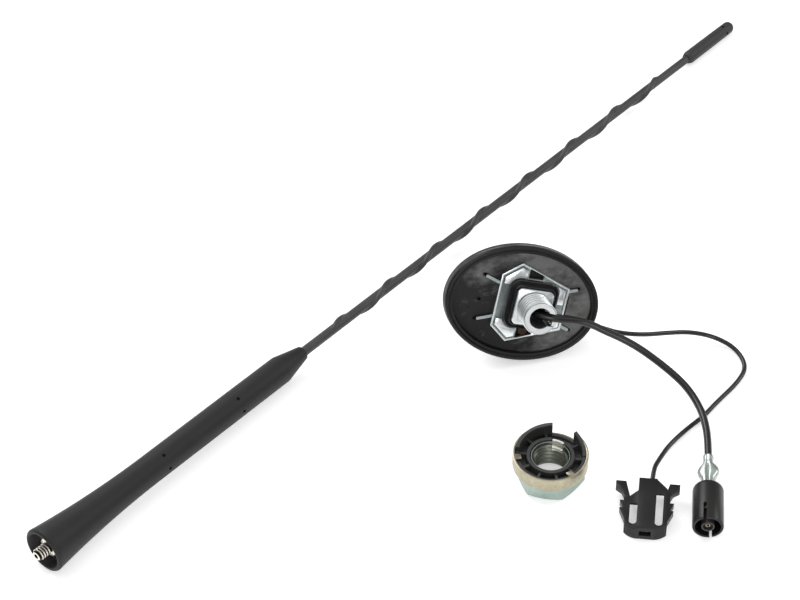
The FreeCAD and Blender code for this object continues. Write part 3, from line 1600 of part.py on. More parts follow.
# Route of the supply lead: beside the aerial lead to the table, out to the right in a bow and back to the
# socket housing.
supply_route = [
    foot_point(bore_x + 2.1, 0, 3.0),
    foot_point(bore_x + 2.1, 0, -4.0),
    foot_point(bore_x + 3.9, 0, -8.2),
    foot_point(bore_x + 9.0, 0, -9.2),
    Vector(9.6, -18.6, 22.5),
    Vector(13.3, -24.3, 20.3),
    Vector(16.8, -28.9, 18.2),
    Vector(20.6, -33.7, 16.0),
    Vector(28.9, -39.6, 12.6),
    Vector(40.3, -44.5, 8.6),
    Vector(48.6, -48.7, 5.6),
    Vector(55.5, -55.8, 2.6),
    Vector(57.3, -65.9, 1.3),
    Vector(52.3, -75.5, 1.0),
    Vector(42.6, -78.2, 1.0),
    Vector(28.6, -78.6, 1.0),
    Vector(18.7, -79.6, 1.0),
    Vector(9.4, -78.8, 1.0),
    Vector(-2.3, -79.1, 1.2),
    Vector(-11.7, -81.5, 2.2),
    at_latch("supply_run_out"),
    at_latch("-wire_grip"),
]
lead("supply_cable", supply_route, size("supply_lead_diameter"))

# Every piece has to be whole before any is written.
doc.recompute()
for thing in doc.Objects:
    if "Invalid" in thing.State or "Error" in thing.State:
        raise ValueError(f"{thing.Label} did not build: {thing.State}")
for piece in sub_parts:
    if piece.Shape.isNull() or not piece.Shape.isValid():
        raise ValueError(f"{piece.Label} has no valid shape")
os.makedirs("parts", exist_ok=True)
for piece in sub_parts:
    piece.Shape.exportStep(f"parts/{piece.Label}.step")
print(len(sub_parts), "pieces written")
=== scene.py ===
from math import atan2, copysign, cos, degrees, exp, pi, prod, radians, sin, sqrt, tan, tau

import bmesh
import bpy
from mathutils import Matrix, Vector


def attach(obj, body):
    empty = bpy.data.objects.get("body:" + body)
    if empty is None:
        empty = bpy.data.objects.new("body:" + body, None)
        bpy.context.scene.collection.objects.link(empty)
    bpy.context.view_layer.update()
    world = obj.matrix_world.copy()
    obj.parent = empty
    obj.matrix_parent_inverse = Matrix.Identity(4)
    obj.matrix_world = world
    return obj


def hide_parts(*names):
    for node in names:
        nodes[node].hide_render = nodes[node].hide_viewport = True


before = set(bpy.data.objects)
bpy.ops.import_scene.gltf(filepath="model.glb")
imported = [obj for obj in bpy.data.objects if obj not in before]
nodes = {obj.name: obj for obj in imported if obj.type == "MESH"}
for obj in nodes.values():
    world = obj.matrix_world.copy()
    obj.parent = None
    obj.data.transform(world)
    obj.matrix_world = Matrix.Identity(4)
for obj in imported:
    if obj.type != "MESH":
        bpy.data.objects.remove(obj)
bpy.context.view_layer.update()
scene = bpy.context.scene


# Table, light and camera
# A plain white table, faintly lit from below and under a broad light from above, so shadows stay weak.
# The camera looks down at 45 degrees from the mast's near side through a long lens.
class Flow:
    """A node's output that can stand in sums; a sum adds its Math nodes to the tree."""

    def __init__(self, tree, socket=None):
        self.tree, self.socket = tree, socket

    def node(self, kind, sockets, out=0, stops=(), **settings):
        made = self.tree.nodes.new(kind)
        for name, value in settings.items():
            setattr(made, name, value)
        if stops:
            ramp = made.color_ramp
            while len(ramp.elements) < len(stops):
                ramp.elements.new(1.0)
            for stop, (spot, colour) in zip(ramp.elements, stops):
                stop.position, stop.color = spot, (*colour, 1.0)
        for name, value in sockets.items():
            if isinstance(value, Flow):
                self.tree.links.new(value.socket, made.inputs[name])
            else:
                made.inputs[name].default_value = value
        return Flow(self.tree, made.outputs[out] if made.outputs else None)

    def maths(self, operation, *others):
        return self.node("ShaderNodeMath", dict(enumerate((self, *others))), operation=operation)

    def __add__(self, other):
        return self.maths("ADD", other)

    def __mul__(self, other):
        return self.maths("MULTIPLY", other)

    def __sub__(self, other):
        return self.maths("SUBTRACT", other)

    def __rsub__(self, other):
        return self.node("ShaderNodeMath", {0: other, 1: self}, operation="SUBTRACT")

    def __truediv__(self, other):
        return self.maths("DIVIDE", other)

    __radd__, __rmul__ = __add__, __mul__

    def held(self):
        return self.node("ShaderNodeClamp", {"Value": self})

    def past(self, start, run):
        """Rises from 0 at the start to 1 at the end of the run; a negative run lies below the start."""
        return ((self - start) / run).held()

    def mix(self, under, over):
        return self.node("ShaderNodeMix", {0: self, 6: under, 7: over}, 2, data_type="RGBA")

    def between(self, dark, light):
        return self.mix((*dark, 1), (*light, 1))

    def over(self, under, colour):
        return self.mix(under, (*colour, 1))

    def axis(self, letter):
        return self.node("ShaderNodeSeparateXYZ", {0: self}, letter)

    def along(self, way):
        return self.node("ShaderNodeVectorMath", {0: self, 1: way}, "Value", operation="DOT_PRODUCT")

    def stretched(self, scale):
        return self.node("ShaderNodeMapping", {"Vector": self, "Scale": scale})

    def noise(self, scale, detail=2.0, rough=0.5):
        sockets = {"Vector": self, "Scale": scale, "Detail": detail, "Roughness": rough}
        return self.node("ShaderNodeTexNoise", sockets)

    def bump(self, strength, depth):
        return self.node("ShaderNodeBump", {"Height": self, "Strength": strength, "Distance": depth})


def grey(value):
    return (value, value, value)


def finish(name, look):
    """Material of one surface shader; look gives its sockets from the piece's own coordinates."""
    made = bpy.data.materials.new(name)
    made.use_nodes = True
    made.node_tree.nodes.clear()
    start = Flow(made.node_tree)
    place = start.node("ShaderNodeTexCoord", {}, "Object")
    surface = start.node("ShaderNodeBsdfPrincipled", look(place))
    start.node("ShaderNodeOutputMaterial", {"Surface": surface})
    return made


def table_look(place):
    cloud = place.noise(14.0, 3.0)
    return {
        "Base Color": cloud.between(grey(0.86), grey(0.90)),
        "Roughness": 0.7 + 0.1 * cloud,
        "Emission Color": (1.0, 1.0, 1.0, 1.0),
        "Emission Strength": 0.44,
    }


def shown(name, data):
    """Object of some data, put into the scene."""
    thing = bpy.data.objects.new(name, data)
    scene.collection.objects.link(thing)
    return thing


def settled(form, name):
    """Object of a form, which is used up."""
    mesh = bpy.data.meshes.new(name)
    form.to_mesh(mesh)
    form.free()
    return shown(name, mesh)


TABLE_HALF, TABLE_LEVEL = 4.0, -0.0002
top = bmesh.new()
bmesh.ops.create_grid(top, x_segments=1, y_segments=1, size=TABLE_HALF)
bmesh.ops.translate(top, verts=top.verts, vec=(0, 0, TABLE_LEVEL))
table = settled(top, "table_top")
table.data.materials.append(finish("table_white", table_look))


def aimed(thing, spot, way):
    """Puts a lamp or a camera at a spot, looking along a way."""
    thing.location = spot
    thing.rotation_mode = "QUATERNION"
    thing.rotation_quaternion = way.to_track_quat("-Z", "Y")


def softbox(name, spot, aim, width, power):
    lamp = bpy.data.lights.new(name, "AREA")
    lamp.shape, lamp.size, lamp.energy = "DISK", width, power
    aimed(shown(name, lamp), spot, Vector(aim) - Vector(spot))


softbox("back_light", (0.1, 1.1, 1.0), grey(0.0), 0.9, 11.0)
softbox("front_light", (-0.9, -1.1, 0.8), (0.0, -0.03, 0.0), 0.7, 7.0)
softbox("right_light", (1.2, -0.8, 0.9), grey(0.0), 0.5, 6.0)

studio = bpy.data.worlds.new("studio")
studio.use_nodes = True
studio.node_tree.nodes.clear()
sky = Flow(studio.node_tree)
SKY_STOPS = [
    (0.0, (0.16, 0.16, 0.17)), (0.5, (0.30, 0.30, 0.31)), (0.75, (0.92, 0.92, 0.93)), (1.0, grey(1.3)),
]
height = sky.node("ShaderNodeTexCoord", {}, "Generated").axis("Z")
shade = sky.node("ShaderNodeValToRGB", {"Fac": height}, stops=SKY_STOPS)
light = sky.node("ShaderNodeBackground", {"Color": shade, "Strength": 0.8})
sky.node("ShaderNodeOutputWorld", {"Surface": light})
scene.world = studio
scene.view_settings.view_transform = "Standard"

CAMERA_AIM = Vector((-0.0125, 0.05515, 0.0))
CAMERA_BACK = Vector((-0.5260, -0.4726, 0.7071))
CAMERA_REACH = 1.4
lens = bpy.data.cameras.new("long_lens")
lens.sensor_width, lens.lens = 36.0, 152.46
lens.clip_start, lens.clip_end = 0.05, 20.0
camera = shown("long_lens", lens)
aimed(camera, CAMERA_AIM + CAMERA_BACK * CAMERA_REACH, -CAMERA_BACK)
scene.camera = camera


# Mast stud
# Turned and plated steel screw with an M5 thread, a hexagon flange and a small hexagon key socket.
# It sits in the hollow foot of the grip and is crimped round the core rod inside.
MM = 0.001


def placed(spot, x_way, y_way, z_way):
    """Place of a piece drawn in millimetres: from its own corner and ways to the shared frame."""
    ways = Matrix((x_way, y_way, z_way)).transposed().to_4x4()
    return Matrix.Translation(Vector(spot) * MM) @ ways @ Matrix.Scale(MM, 4)


def skinned(form, rings, loop=False):
    """Adds the wall between rings of points; a ring of one point closes the wall to a tip."""
    rows = [[form.verts.new(spot) for spot in ring] for ring in rings]
    for low, high in zip(rows, rows[1:] + (rows[:1] if loop else [])):
        count = max(len(low), len(high))
        if count == 1:
            continue
        for i in range(count):
            j = (i + 1) % count
            corners = [low[i % len(low)], low[j % len(low)], high[j % len(high)], high[i % len(high)]]
            form.faces.new(list(dict.fromkeys(corners)))


def turned(form, outline, steps=72, loop=False, angles=None):
    """Adds a wall turned about Z; a radius or height of the outline may be a rule of the angle."""
    angles = angles or [tau * i / steps for i in range(steps)]
    rings = []
    for radius, rise in outline:
        if radius == 0:
            rings.append([Vector((0, 0, rise))])
            continue
        ring = []
        for angle in angles:
            reach = radius(angle) if callable(radius) else radius
            level = rise(angle) if callable(rise) else rise
            ring.append(Vector((reach * cos(angle), reach * sin(angle), level)))
        rings.append(ring)
    skinned(form, rings, loop)


def hexagon(across):
    """Reach of a hexagon with a corner straight ahead, for a direction."""
    sixth = tau / 6
    return lambda angle: across / 2 / cos(angle % sixth - sixth / 2)


def pattern(name, sizes, grow):
    """Geometry tree with a named number for each size; grow gives the shape before its finish is set."""
    tree = bpy.data.node_groups.new(name, "GeometryNodeTree")
    for label in sizes:
        tree.interface.new_socket(label, in_out="INPUT", socket_type="NodeSocketFloat")
    tree.interface.new_socket("Finish", in_out="INPUT", socket_type="NodeSocketMaterial")
    tree.interface.new_socket("Shape", in_out="OUTPUT", socket_type="NodeSocketGeometry")
    entry = tree.nodes.new("NodeGroupInput")
    start = Flow(tree)
    shape = grow(start, {label: Flow(tree, entry.outputs[label]) for label in sizes})
    real = start.node("GeometryNodeRealizeInstances", {"Geometry": shape})
    coat = {"Geometry": real, "Material": Flow(tree, entry.outputs["Finish"])}
    start.node("NodeGroupOutput", {"Shape": start.node("GeometryNodeSetMaterial", coat)})
    return tree


def grown(form, tree, **values):
    """Adds to a form the mesh that a geometry tree gives for these sizes."""
    holder = shown("holder", bpy.data.meshes.new("holder"))
    step = holder.modifiers.new("shape", "NODES")
    step.node_group = tree
    for knob in tree.interface.items_tree:
        if knob.in_out == "INPUT":
            step[knob.identifier] = values[knob.name]
    graph = bpy.context.evaluated_depsgraph_get()
    mesh = bpy.data.meshes.new_from_object(holder.evaluated_get(graph))
    bpy.data.objects.remove(holder)
    form.from_mesh(mesh)
    bpy.data.meshes.remove(mesh)


def rolled(start, columns, rows, reach, angle, rise):
    """Tube that a flat sheet becomes when its points go to these radii, angles and heights."""
    sheet = {"Size X": 1.0, "Size Y": 1.0, "Vertices X": columns, "Vertices Y": rows}
    bent = {"X": reach * angle.maths("COSINE"), "Y": reach * angle.maths("SINE"), "Z": rise}
    moved = {
        "Geometry": start.node("GeometryNodeMeshGrid", sheet),
        "Position": start.node("ShaderNodeCombineXYZ", bent),
    }
    tube = start.node("GeometryNodeSetPosition", moved)
    return start.node("GeometryNodeMergeByDistance", {"Geometry": tube, "Distance": 0.001})


THREAD_COLUMNS = 73


def thread_wall(start, size):
    """Tube whose radius follows a right-handed screw thread that runs out at both ends."""
    spot = start.node("GeometryNodeInputPosition", {})
    turn = spot.axis("X") + 0.5
    rise = (spot.axis("Y") + 0.5) * size["Length"]
    tooth = ((rise / size["Pitch"] - turn).maths("PINGPONG", 0.5) * 2.0).past(0.15, 0.7)
    run_out = (rise.maths("MINIMUM", size["Length"] - rise) / size["Pitch"] * 2.0).held()
    reach = size["Root"] + (size["Crest"] - size["Root"]) * tooth * run_out
    return rolled(start, THREAD_COLUMNS, size["Rings"], reach, turn * tau, rise + size["Start"])


screw_thread = pattern("screw_thread", ["Root", "Crest", "Pitch", "Start", "Length", "Rings"], thread_wall)


def threaded(form, surface, root, crest, pitch, start, length, rings):
    """Adds a threaded wall to a form."""
    sizes = {"Root": root, "Crest": crest, "Pitch": pitch, "Start": start, "Length": length, "Rings": rings}
    grown(form, screw_thread, Finish=surface, **sizes)


WELD = 0.0005


def formed(form, name):
    """Closed object in millimetres from a form."""
    bmesh.ops.remove_doubles(form, verts=form.verts, dist=WELD)
    bmesh.ops.recalc_face_normals(form, faces=form.faces)
    return settled(form, name)


def walled(name, rings, loop=False):
    """Closed object from the wall between rings, its open ends filled."""
    form = bmesh.new()
    skinned(form, rings, loop)
    bmesh.ops.holes_fill(form, edges=form.edges, sides=0)
    return formed(form, name)


def lathed(name, outline, x=0.0, y=0.0, **how):
    """Closed object from one wall turned about an upright line."""
    form = bmesh.new()
    turned(form, outline, **how)
    form.transform(Matrix.Translation((x, y, 0)))
    return formed(form, name)


def worked(thing, added=(), taken=(), bevel=0.0, bevel_angle=30.0):
    """Piece with forms joined to it, others cut from it, and its sharp edges broken."""
    for other, deed in [*((o, "UNION") for o in added), *((o, "DIFFERENCE") for o in taken)]:
        step = thing.modifiers.new(deed, "BOOLEAN")
        step.operation, step.solver, step.object = deed, "EXACT", other
    if bevel:
        step = thing.modifiers.new("edges", "BEVEL")
        step.width, step.segments = bevel, 2
        step.limit_method, step.angle_limit = "ANGLE", radians(bevel_angle)
    graph = bpy.context.evaluated_depsgraph_get()
    mesh = bpy.data.meshes.new_from_object(thing.evaluated_get(graph))
    thing.modifiers.clear()
    thing.data = mesh
    form = bmesh.new()
    form.from_mesh(mesh)
    bmesh.ops.dissolve_degenerate(form, dist=WELD, edges=form.edges)
    form.to_mesh(mesh)
    form.free()
    for other in [*added, *taken]:
        bpy.data.objects.remove(other)
    return thing


def seated(thing, place, surface, sharp=35.0):
    """Piece moved into the shared frame, in its finish, smooth except at its real edges."""
    mesh = thing.data
    mesh.transform(place)
    mesh.materials.clear()
    mesh.materials.append(surface)
    for face in mesh.polygons:
        face.use_smooth, face.material_index = True, 0
    mesh.set_sharp_from_angle(angle=radians(sharp))
    return thing


def prism(across, low, high, chamfer=0.0):
    """Hexagon bar with its end corners turned off."""
    reach, inner = hexagon(across), across / 2
    lean = chamfer * tan(radians(30))
    return lathed(
        "prism",
        [
            (0, low),
            (inner, low),
            (reach, lambda a: low + (reach(a) - inner) * lean),
            (reach, lambda a: high - (reach(a) - inner) * lean),
            (inner, high),
            (0, high),
        ],
    )


def bright_metal(name, light, dark, rough, grain, depth):
    """Metal finish with a clouded colour, small marks and uneven gloss."""

    def look(place):
        cloud = place.noise(160.0, 4.0, 0.6)
        marks = place.noise(grain, 3.0, 0.65)
        spots = ((place.noise(900.0, 2.0) - 0.62) * 6.0).held()
        blend = (cloud * 0.7 + marks * 0.5 - 0.1).held()
        return {
            "Base Color": (spots * 0.35).over(blend.between(dark, light), [c * 0.6 for c in dark]),
            "Roughness": rough + 0.16 * cloud + 0.12 * marks - 0.12 + 0.1 * spots,
            "Metallic": 1.0,
            "Normal": marks.bump(0.35, depth),
        }

    return finish(name, look)


MAST_SPOT = (-211.4, 59.5, 9.5181)
mast_fall = radians(0.92307)
mast_place = placed(
    MAST_SPOT,
    Vector((0, 1, 0)),
    Vector((sin(mast_fall), 0, cos(mast_fall))),
    Vector((cos(mast_fall), 0, -sin(mast_fall))),
)


def stud_look(place):
    """Bright turned steel; the thread's roots are painted near black as shade."""
    along = place.axis("X") - MAST_SPOT[0] * MM
    across = place.axis("Y") - MAST_SPOT[1] * MM
    high = place.axis("Z") - MAST_SPOT[2] * MM
    high = high + along * tan(mast_fall)
    reach = (across * across + high * high).maths("SQRT")
    # Painted shade: below the crests the thread is coloured near black; the crests and the end face stay bright.
    crest = reach.past(0.00212, 0.00026)
    end_face = along.past(-0.00320, -0.00005)
    bright = crest.maths("MAXIMUM", end_face)
    cloud = place.noise(600.0, 3.0)
    return {
        "Base Color": bright.between((0.012, 0.010, 0.008), (0.92, 0.88, 0.78)),
        "Roughness": 0.30 + 0.12 * cloud,
        "Metallic": 1.0,
        "Normal": cloud.bump(0.1, 0.00002),
    }


stud_steel = finish("stud_steel", stud_look)
STUD_END, STUD_ROOT, STUD_CREST = -3.4, 2.02, 2.5
RECESS_FLOOR, SHANK_END = 3.8, 29.8
stud = bmesh.new()
turned(stud, [(0, STUD_END), (1.7, STUD_END), (STUD_ROOT, -3.05), (STUD_ROOT, -3.0)])
threaded(stud, stud_steel, STUD_ROOT, STUD_CREST, 1.2, -3.0, 5.8, 90)
turned(
    stud,
    [(STUD_ROOT, 2.8), (STUD_ROOT, 3.3), (3.0, 3.3), (3.0, SHANK_END), (1.25, SHANK_END), (1.25, 13.8), (0, 13.8)],
)
flange = prism(7.6, RECESS_FLOOR - 1.0, RECESS_FLOOR, chamfer=1.0)
key = prism(2.0, STUD_END - 1.0, STUD_END + 1.6)
mast_screw = worked(formed(stud, "mast_screw"), [flange], [key])
seated(mast_screw, mast_place, stud_steel)
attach(mast_screw, "antenna")
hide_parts("mast_stud")


# Core rod
# Straight glass-fibre rod from the stud's crimped shank through the jacket into the tip cap.
# It is hidden along its whole length.
def dressed(node, surface):
    """Gives a carried-over node its finish."""
    for slot in nodes[node].material_slots:
        slot.material = surface


def glass_look(place):
    strands = place.stretched((0.05, 1.0, 1.0)).noise(2600.0, 2.0)
    return {
        "Base Color": strands.between((0.62, 0.58, 0.42), (0.80, 0.76, 0.60)),
        "Roughness": 0.35 + 0.2 * strands,
        "Normal": strands.bump(0.2, 0.00003),
    }


dressed("core_rod", finish("glass_rod", glass_look))


# Mast grip
# Soft rubber-like moulding with a flared, hollow foot, a conical nose and two pairs of mould pin marks.
# It is moulded over the stud's shank and the lower end of the whip.
def arc(first, last, radius, way, count):
    """Points of an arc from one outline corner to the next, the first left out."""
    here, there = Vector(first), Vector(last)
    half = (there - here) / 2
    side = Vector((-half.y, half.x)).normalized() * sqrt(radius**2 - half.length**2) * way
    centre = here + half + side
    start = atan2(here.y - centre.y, here.x - centre.x)
    end = atan2(there.y - centre.y, there.x - centre.x)
    sweep = (end - start + pi) % tau - pi
    angles = [start + sweep * i / count for i in range(1, count + 1)]
    return [(centre.x + radius * cos(a), centre.y + radius * sin(a)) for a in angles]


def pin_mark(station, bearing, bed, reach, width):
    """Cutter for a mould pin mark, lying along a bearing from the mast's axis."""
    mark = lathed("pin_mark", [(0, bed), (width * 0.42, bed), (width / 2, reach), (0, reach)], steps=20)
    way = Vector((cos(radians(bearing)), sin(radians(bearing)), 0))
    mark.data.transform(Matrix.Translation((0, 0, station)) @ way.to_track_quat("Z", "Y").to_matrix().to_4x4())
    return mark


def box(low, high):
    """Cutter in the shape of a plain block."""
    made = bmesh.new()
    bmesh.ops.create_cube(made, size=1.0)
    for corner in made.verts:
        corner.co = [l + (h - l) * (c + 0.5) for l, h, c in zip(low, high, corner.co)]
    return formed(made, "block")


def moulded(name, dark, light, rough, grain, depth, gloss=0.3, rub=0.5):
    """Black moulding: fine even grain, a slow drift of tone, and paler rubbed flecks."""

    def look(place):
        cloud = place.noise(70.0, 4.0, 0.55)
        fine = place.noise(grain, 2.0, 0.6)
        flecks = ((place.noise(420.0, 5.0, 0.7) - 0.6) * 5.0).held()
        tone = (cloud * 0.8 + fine * 0.4 - 0.1).held()
        return {
            "Base Color": (flecks * rub).over(tone.between(dark, light), [c * 1.9 for c in light]),
            "Roughness": rough + 0.14 * cloud + 0.1 * fine - 0.1,
            "Normal": fine.bump(0.5, depth),
            "Specular IOR Level": gloss,
        }

    return finish(name, look)


GRIP_GRAIN = (2600.0, 0.00005)
grip_rubber = moulded("grip_rubber", grey(0.008), (0.019, 0.019, 0.018), 0.52, *GRIP_GRAIN, 0.32, 0.25)
GRIP_RIM, GRIP_NECK = (9.5, 1.2), (5.95, 58.0)
outside = [(7.75, 0.25), (7.95, 0.06), (8.3, 0.0)]
outside += arc(outside[-1], GRIP_RIM, 1.2, 1, 8)
outside += arc(GRIP_RIM, GRIP_NECK, 480.0, -1, 28)
outside += [(5.9, 84.0), (5.85, 110.0), (5.8, 131.7), (5.74, 132.2), (5.62, 132.7)]
outside += [(4.4, 138.0), (3.2, 143.6), (3.02, 144.4), (2.85, 144.75), (2.5, 144.8), (2.02, 144.8)]
inside = [(2.02, 122.8), (1.26, 122.8), (1.26, SHANK_END), (3.04, SHANK_END), (3.04, RECESS_FLOOR)]
inside += [(6.7, RECESS_FLOOR), (6.9, 3.6)]
grip = lathed("grip_moulding", outside + inside, steps=120, loop=True)
marks = [pin_mark(z, 144.5 + s * 30.0, 4.9, 6.8, 1.6) for z in (63.3, 105.0) for s in (-1, 1)]
recess_slot = box((-6.5, -0.55, 3.4), (6.5, 0.55, 5.4))
recess_slot.data.transform(Matrix.Rotation(radians(55.0), 4, "Z"))
mast_grip = worked(grip, taken=[recess_slot, *marks])
seated(mast_grip, mast_place, grip_rubber)
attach(mast_grip, "antenna")
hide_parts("mast_grip")


# Whip jacket
# Tapering plastic sleeve shrunk over the core rod and over the aerial wire wound round it,
# so that a soft left-handed bead stands out along most of its length.
SLEEVE_GRID = (89, 340)


def beaded_sleeve(start, size):
    """Tube whose columns follow the wound wire, so that the bead stays in the middle of the sheet."""
    spot = start.node("GeometryNodeInputPosition", {})
    across = spot.axis("X") * tau
    share = spot.axis("Y") + 0.5
    rise = size["Start"] + share * (size["End"] - size["Start"])
    sleeve = size["Root radius"] + share * (size["Tip radius"] - size["Root radius"])
    along = rise - size["Bead start"]
    left = size["Bead length"] - along
    swell = (along.maths("MINIMUM", left) / size["Fade"] + 0.5).held()
    soft = swell * swell * (3.0 - 2.0 * swell)
    wire = size["Wire radius"]
    centre = size["Wire centre"] - (1.0 - soft) * (wire * 1.1)
    sine = centre * across.maths("SINE")
    chord = (wire * wire - sine * sine).maths("MAXIMUM", 0.0).maths("SQRT")
    bead = centre * across.maths("COSINE") + chord
    reach = sleeve.maths("SMOOTH_MAX", bead, size["Blend"])
    angle = across + size["First turn"] - along / size["Pitch"] * tau
    return rolled(start, *SLEEVE_GRID, reach, angle, rise)


jacket_black = moulded(
    "jacket_black", grey(0.016), (0.070, 0.071, 0.071), 0.45, 1700.0, 0.00006, 0.4, 0.3
)
SLEEVE_SIZES = {
    "Start": 123.0, "End": 415.6, "Root radius": 2.02, "Tip radius": 1.68, "Bead start": 162.4,
    "Bead length": 211.4, "Pitch": 29.4, "Fade": 5.0, "Wire radius": 1.15, "Wire centre": 1.62,
    "First turn": radians(113.0), "Blend": 0.3,
}
beaded = pattern("beaded_sleeve", list(SLEEVE_SIZES), beaded_sleeve)
jacket = bmesh.new()
grown(jacket, beaded, Finish=jacket_black, **SLEEVE_SIZES)
bmesh.ops.holes_fill(jacket, edges=jacket.edges, sides=0)
whip_jacket = seated(formed(jacket, "whip_sleeve"), mast_place, jacket_black, sharp=60.0)
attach(whip_jacket, "antenna")
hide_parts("whip_jacket")


# Tip cap
# Small moulded cap of a rubber like the grip's but greyer, pushed over the whip's end.
# It has a round nose, a stepped mouth and one pair of mould pin marks.
cap_rubber = moulded("cap_rubber", grey(0.020), (0.042, 0.042, 0.041), 0.52, *GRIP_GRAIN, 0.36, 0.25)
CAP_START, CAP_END, CAP_RADIUS = 393.8, 426.0, 2.7
cap_side = [(1.76, CAP_START), (2.1, CAP_START), (2.25, 393.9), (2.66, 394.9), (2.8, 395.3), (2.85, 395.8)]
cap_side += [(2.79, 410.0), (CAP_RADIUS, CAP_END - CAP_RADIUS)]
nose = arc(cap_side[-1], (0.0, CAP_END), CAP_RADIUS, 1, 9)[:-1]
cap_side += [*nose, (0, CAP_END), (0, 415.8), (1.76, 415.8)]
cap = lathed("tip_moulding", cap_side, steps=64, loop=True)
cap_marks = [pin_mark(CAP_END - 6.2, 130.0 + s * 43.0, 1.8, 3.2, 1.5) for s in (-1, 1)]
tip_cap = seated(worked(cap, taken=cap_marks), mast_place, cap_rubber)
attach(tip_cap, "antenna")
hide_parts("tip_cap")


# Foot housing
# Hollow hump of grained black plastic that rises from an oval skirt to a raked round seat for the mast.
# The foot lies on its side, so the hump points down and away from the underside that shows.
FOOT_SPOT = (0.2, 0.3, 24.8924)
foot_turn, foot_lean, foot_roll = (radians(a) for a in (-124.6, 23.7946, -18.5))
foot_out = Vector((cos(foot_turn), sin(foot_turn), 0)) * cos(foot_lean)
foot_out += Vector((0, 0, sin(foot_lean)))
foot_level = Vector((-sin(foot_turn), cos(foot_turn), 0))
foot_long = foot_level * cos(foot_roll) + foot_out.cross(foot_level) * sin(foot_roll)
foot_place = placed(FOOT_SPOT, foot_long, foot_long.cross(foot_out), -foot_out)

face_level = foot_out.dot(Vector(FOOT_SPOT)) * MM

seat_rake = radians(27.0)
SEAT_SPOT = Vector((8.0, 0, 35.0))
seat_up = Vector((sin(seat_rake), 0, cos(seat_rake)))
seat_side = Vector((cos(seat_rake), 0, -sin(seat_rake)))
OVAL_HALF = (32.3, 24.3)
HUMP_STEPS = 128


def oval_ring(half_length, half_width, x, z, steps=HUMP_STEPS):
    angles = [tau * i / steps for i in range(steps)]
    return [Vector((x + half_length * cos(a), half_width * sin(a), z)) for a in angles]


def seat_ring(radius, rise):
    level = SEAT_SPOT + seat_up * rise
    if radius == 0:
        return [level]
    angles = [tau * i / HUMP_STEPS for i in range(HUMP_STEPS)]
    return [level + seat_side * (radius * cos(a)) + Vector((0, radius * sin(a), 0)) for a in angles]


def blended(stations, rings, spot):
    """Ring on the smooth surface through the given rings, at a spot between their stations."""
    shares = []
    for i, here in enumerate(stations):
        others = [s for j, s in enumerate(stations) if j != i]
        shares.append(prod((spot - s) / (here - s) for s in others))
    return [sum((p * w for p, w in zip(points, shares)), Vector()) for points in zip(*rings)]


HUMP_STATIONS = (0.0, 1.7, 18.3, 36.4)
hump_rings = [
    oval_ring(*OVAL_HALF, 0.0, 4.5),
    oval_ring(OVAL_HALF[0] - 0.8, OVAL_HALF[1] - 0.8, 0.0, 6.0),
    oval_ring(17.5, 14.5, 3.5, 18.0),
    seat_ring(9.7, 0.0),
]
spots = [0.0, 0.3, 0.9, 1.7] + [1.7 + (36.1 - 1.7) * i / 44 for i in range(1, 45)]
hump_skin = [[Vector((0, 0, 4.5))]] + [blended(HUMP_STATIONS, hump_rings, s) for s in spots]
SEAT_STEPS = [
    (9.45, 0.0), (6.62, 0.0), (6.5, 0.14), (6.5, 2.75), (6.4, 3.03), (6.15, 3.18), (5.9, 3.2),
    (4.4, 3.2), (4.1, 3.0), (4.06, -11.7), (0, -11.7),
]
hump_skin += [seat_ring(radius, rise) for radius, rise in SEAT_STEPS]
hump_black = moulded("hump_black", (0.012, 0.012, 0.013), (0.026, 0.026, 0.027), 0.48, 1500.0, 0.00012, 0.4, 0.2)
foot_housing = seated(walled("hump_moulding", hump_skin), foot_place, hump_black, sharp=40.0)
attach(foot_housing, "antenna")
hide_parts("foot_housing")


# Mast socket
# Brass bush with an M5 thread, pressed into the boss on the seat; the mast's stud screws into it.
# Its mouth has a small countersink.
seat_place = foot_place @ Matrix.Translation(SEAT_SPOT) @ Matrix.Rotation(seat_rake, 4, "Y")
brass = bright_metal("brass", (0.80, 0.62, 0.30), (0.55, 0.40, 0.16), 0.28, 900.0, 0.00002)
bush = bmesh.new()
turned(bush, [(0, -11.8), (4.0, -11.8), (4.0, 2.95), (3.85, 3.12), (2.85, 3.12), (2.5, 2.8)])
threaded(bush, brass, 2.5, 2.1, 0.8, -8.8, 11.6, 160)
turned(bush, [(2.5, -8.8), (0, -8.8)])
mast_socket = seated(formed(bush, "mast_bush"), seat_place, brass)
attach(mast_socket, "antenna")
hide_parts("mast_socket")


# Roof casting
# Bright zinc die casting: a six-sided plate with a raised edge, two windows and four ground corner pads,
# four thin locating tabs, a square shoulder and a hollow M14 stud with a slot for the leads.
STUD_X = 3.5
PLATE_FACE, PLATE_BACK = 1.3, 2.5
PLATE_EDGE = [(-11.0, -11.0), (-3.5, -16.8), (18.3, -8.9), (18.3, 8.9), (-3.5, 16.8), (-11.0, 11.0)]
PLATE_FIELD = [(-10.1, -10.56), (-3.34, -15.78), (17.4, -8.27), (17.4, 8.27), (-3.34, 15.78), (-10.1, 10.56)]
PAD_FIELD = [(-9.4, -10.21), (-3.22, -15.0), (16.7, -7.78), (16.7, 7.78), (-3.22, 15.0), (-9.4, 10.21)]


def slab(corners, low, high, name="slab"):
    """Plate of an outline between two levels."""
    return walled(name, [[Vector((x, y, z)) for x, y in corners] for z in (low, high)])


def square_ring(across, corner, x, z, count=9):
    """Ring of points round a square with rounded corners."""
    inner, ring = across / 2 - corner, []
    for quarter in range(4):
        middle = radians(45 + 90 * quarter)
        sign_x, sign_y = copysign(1, cos(middle)), copysign(1, sin(middle))
        for i in range(count):
            a = radians(90 * quarter + 90 * i / (count - 1))
            spot = (x + sign_x * inner + corner * cos(a), sign_y * inner + corner * sin(a), z)
            ring.append(Vector(spot))
    return ring


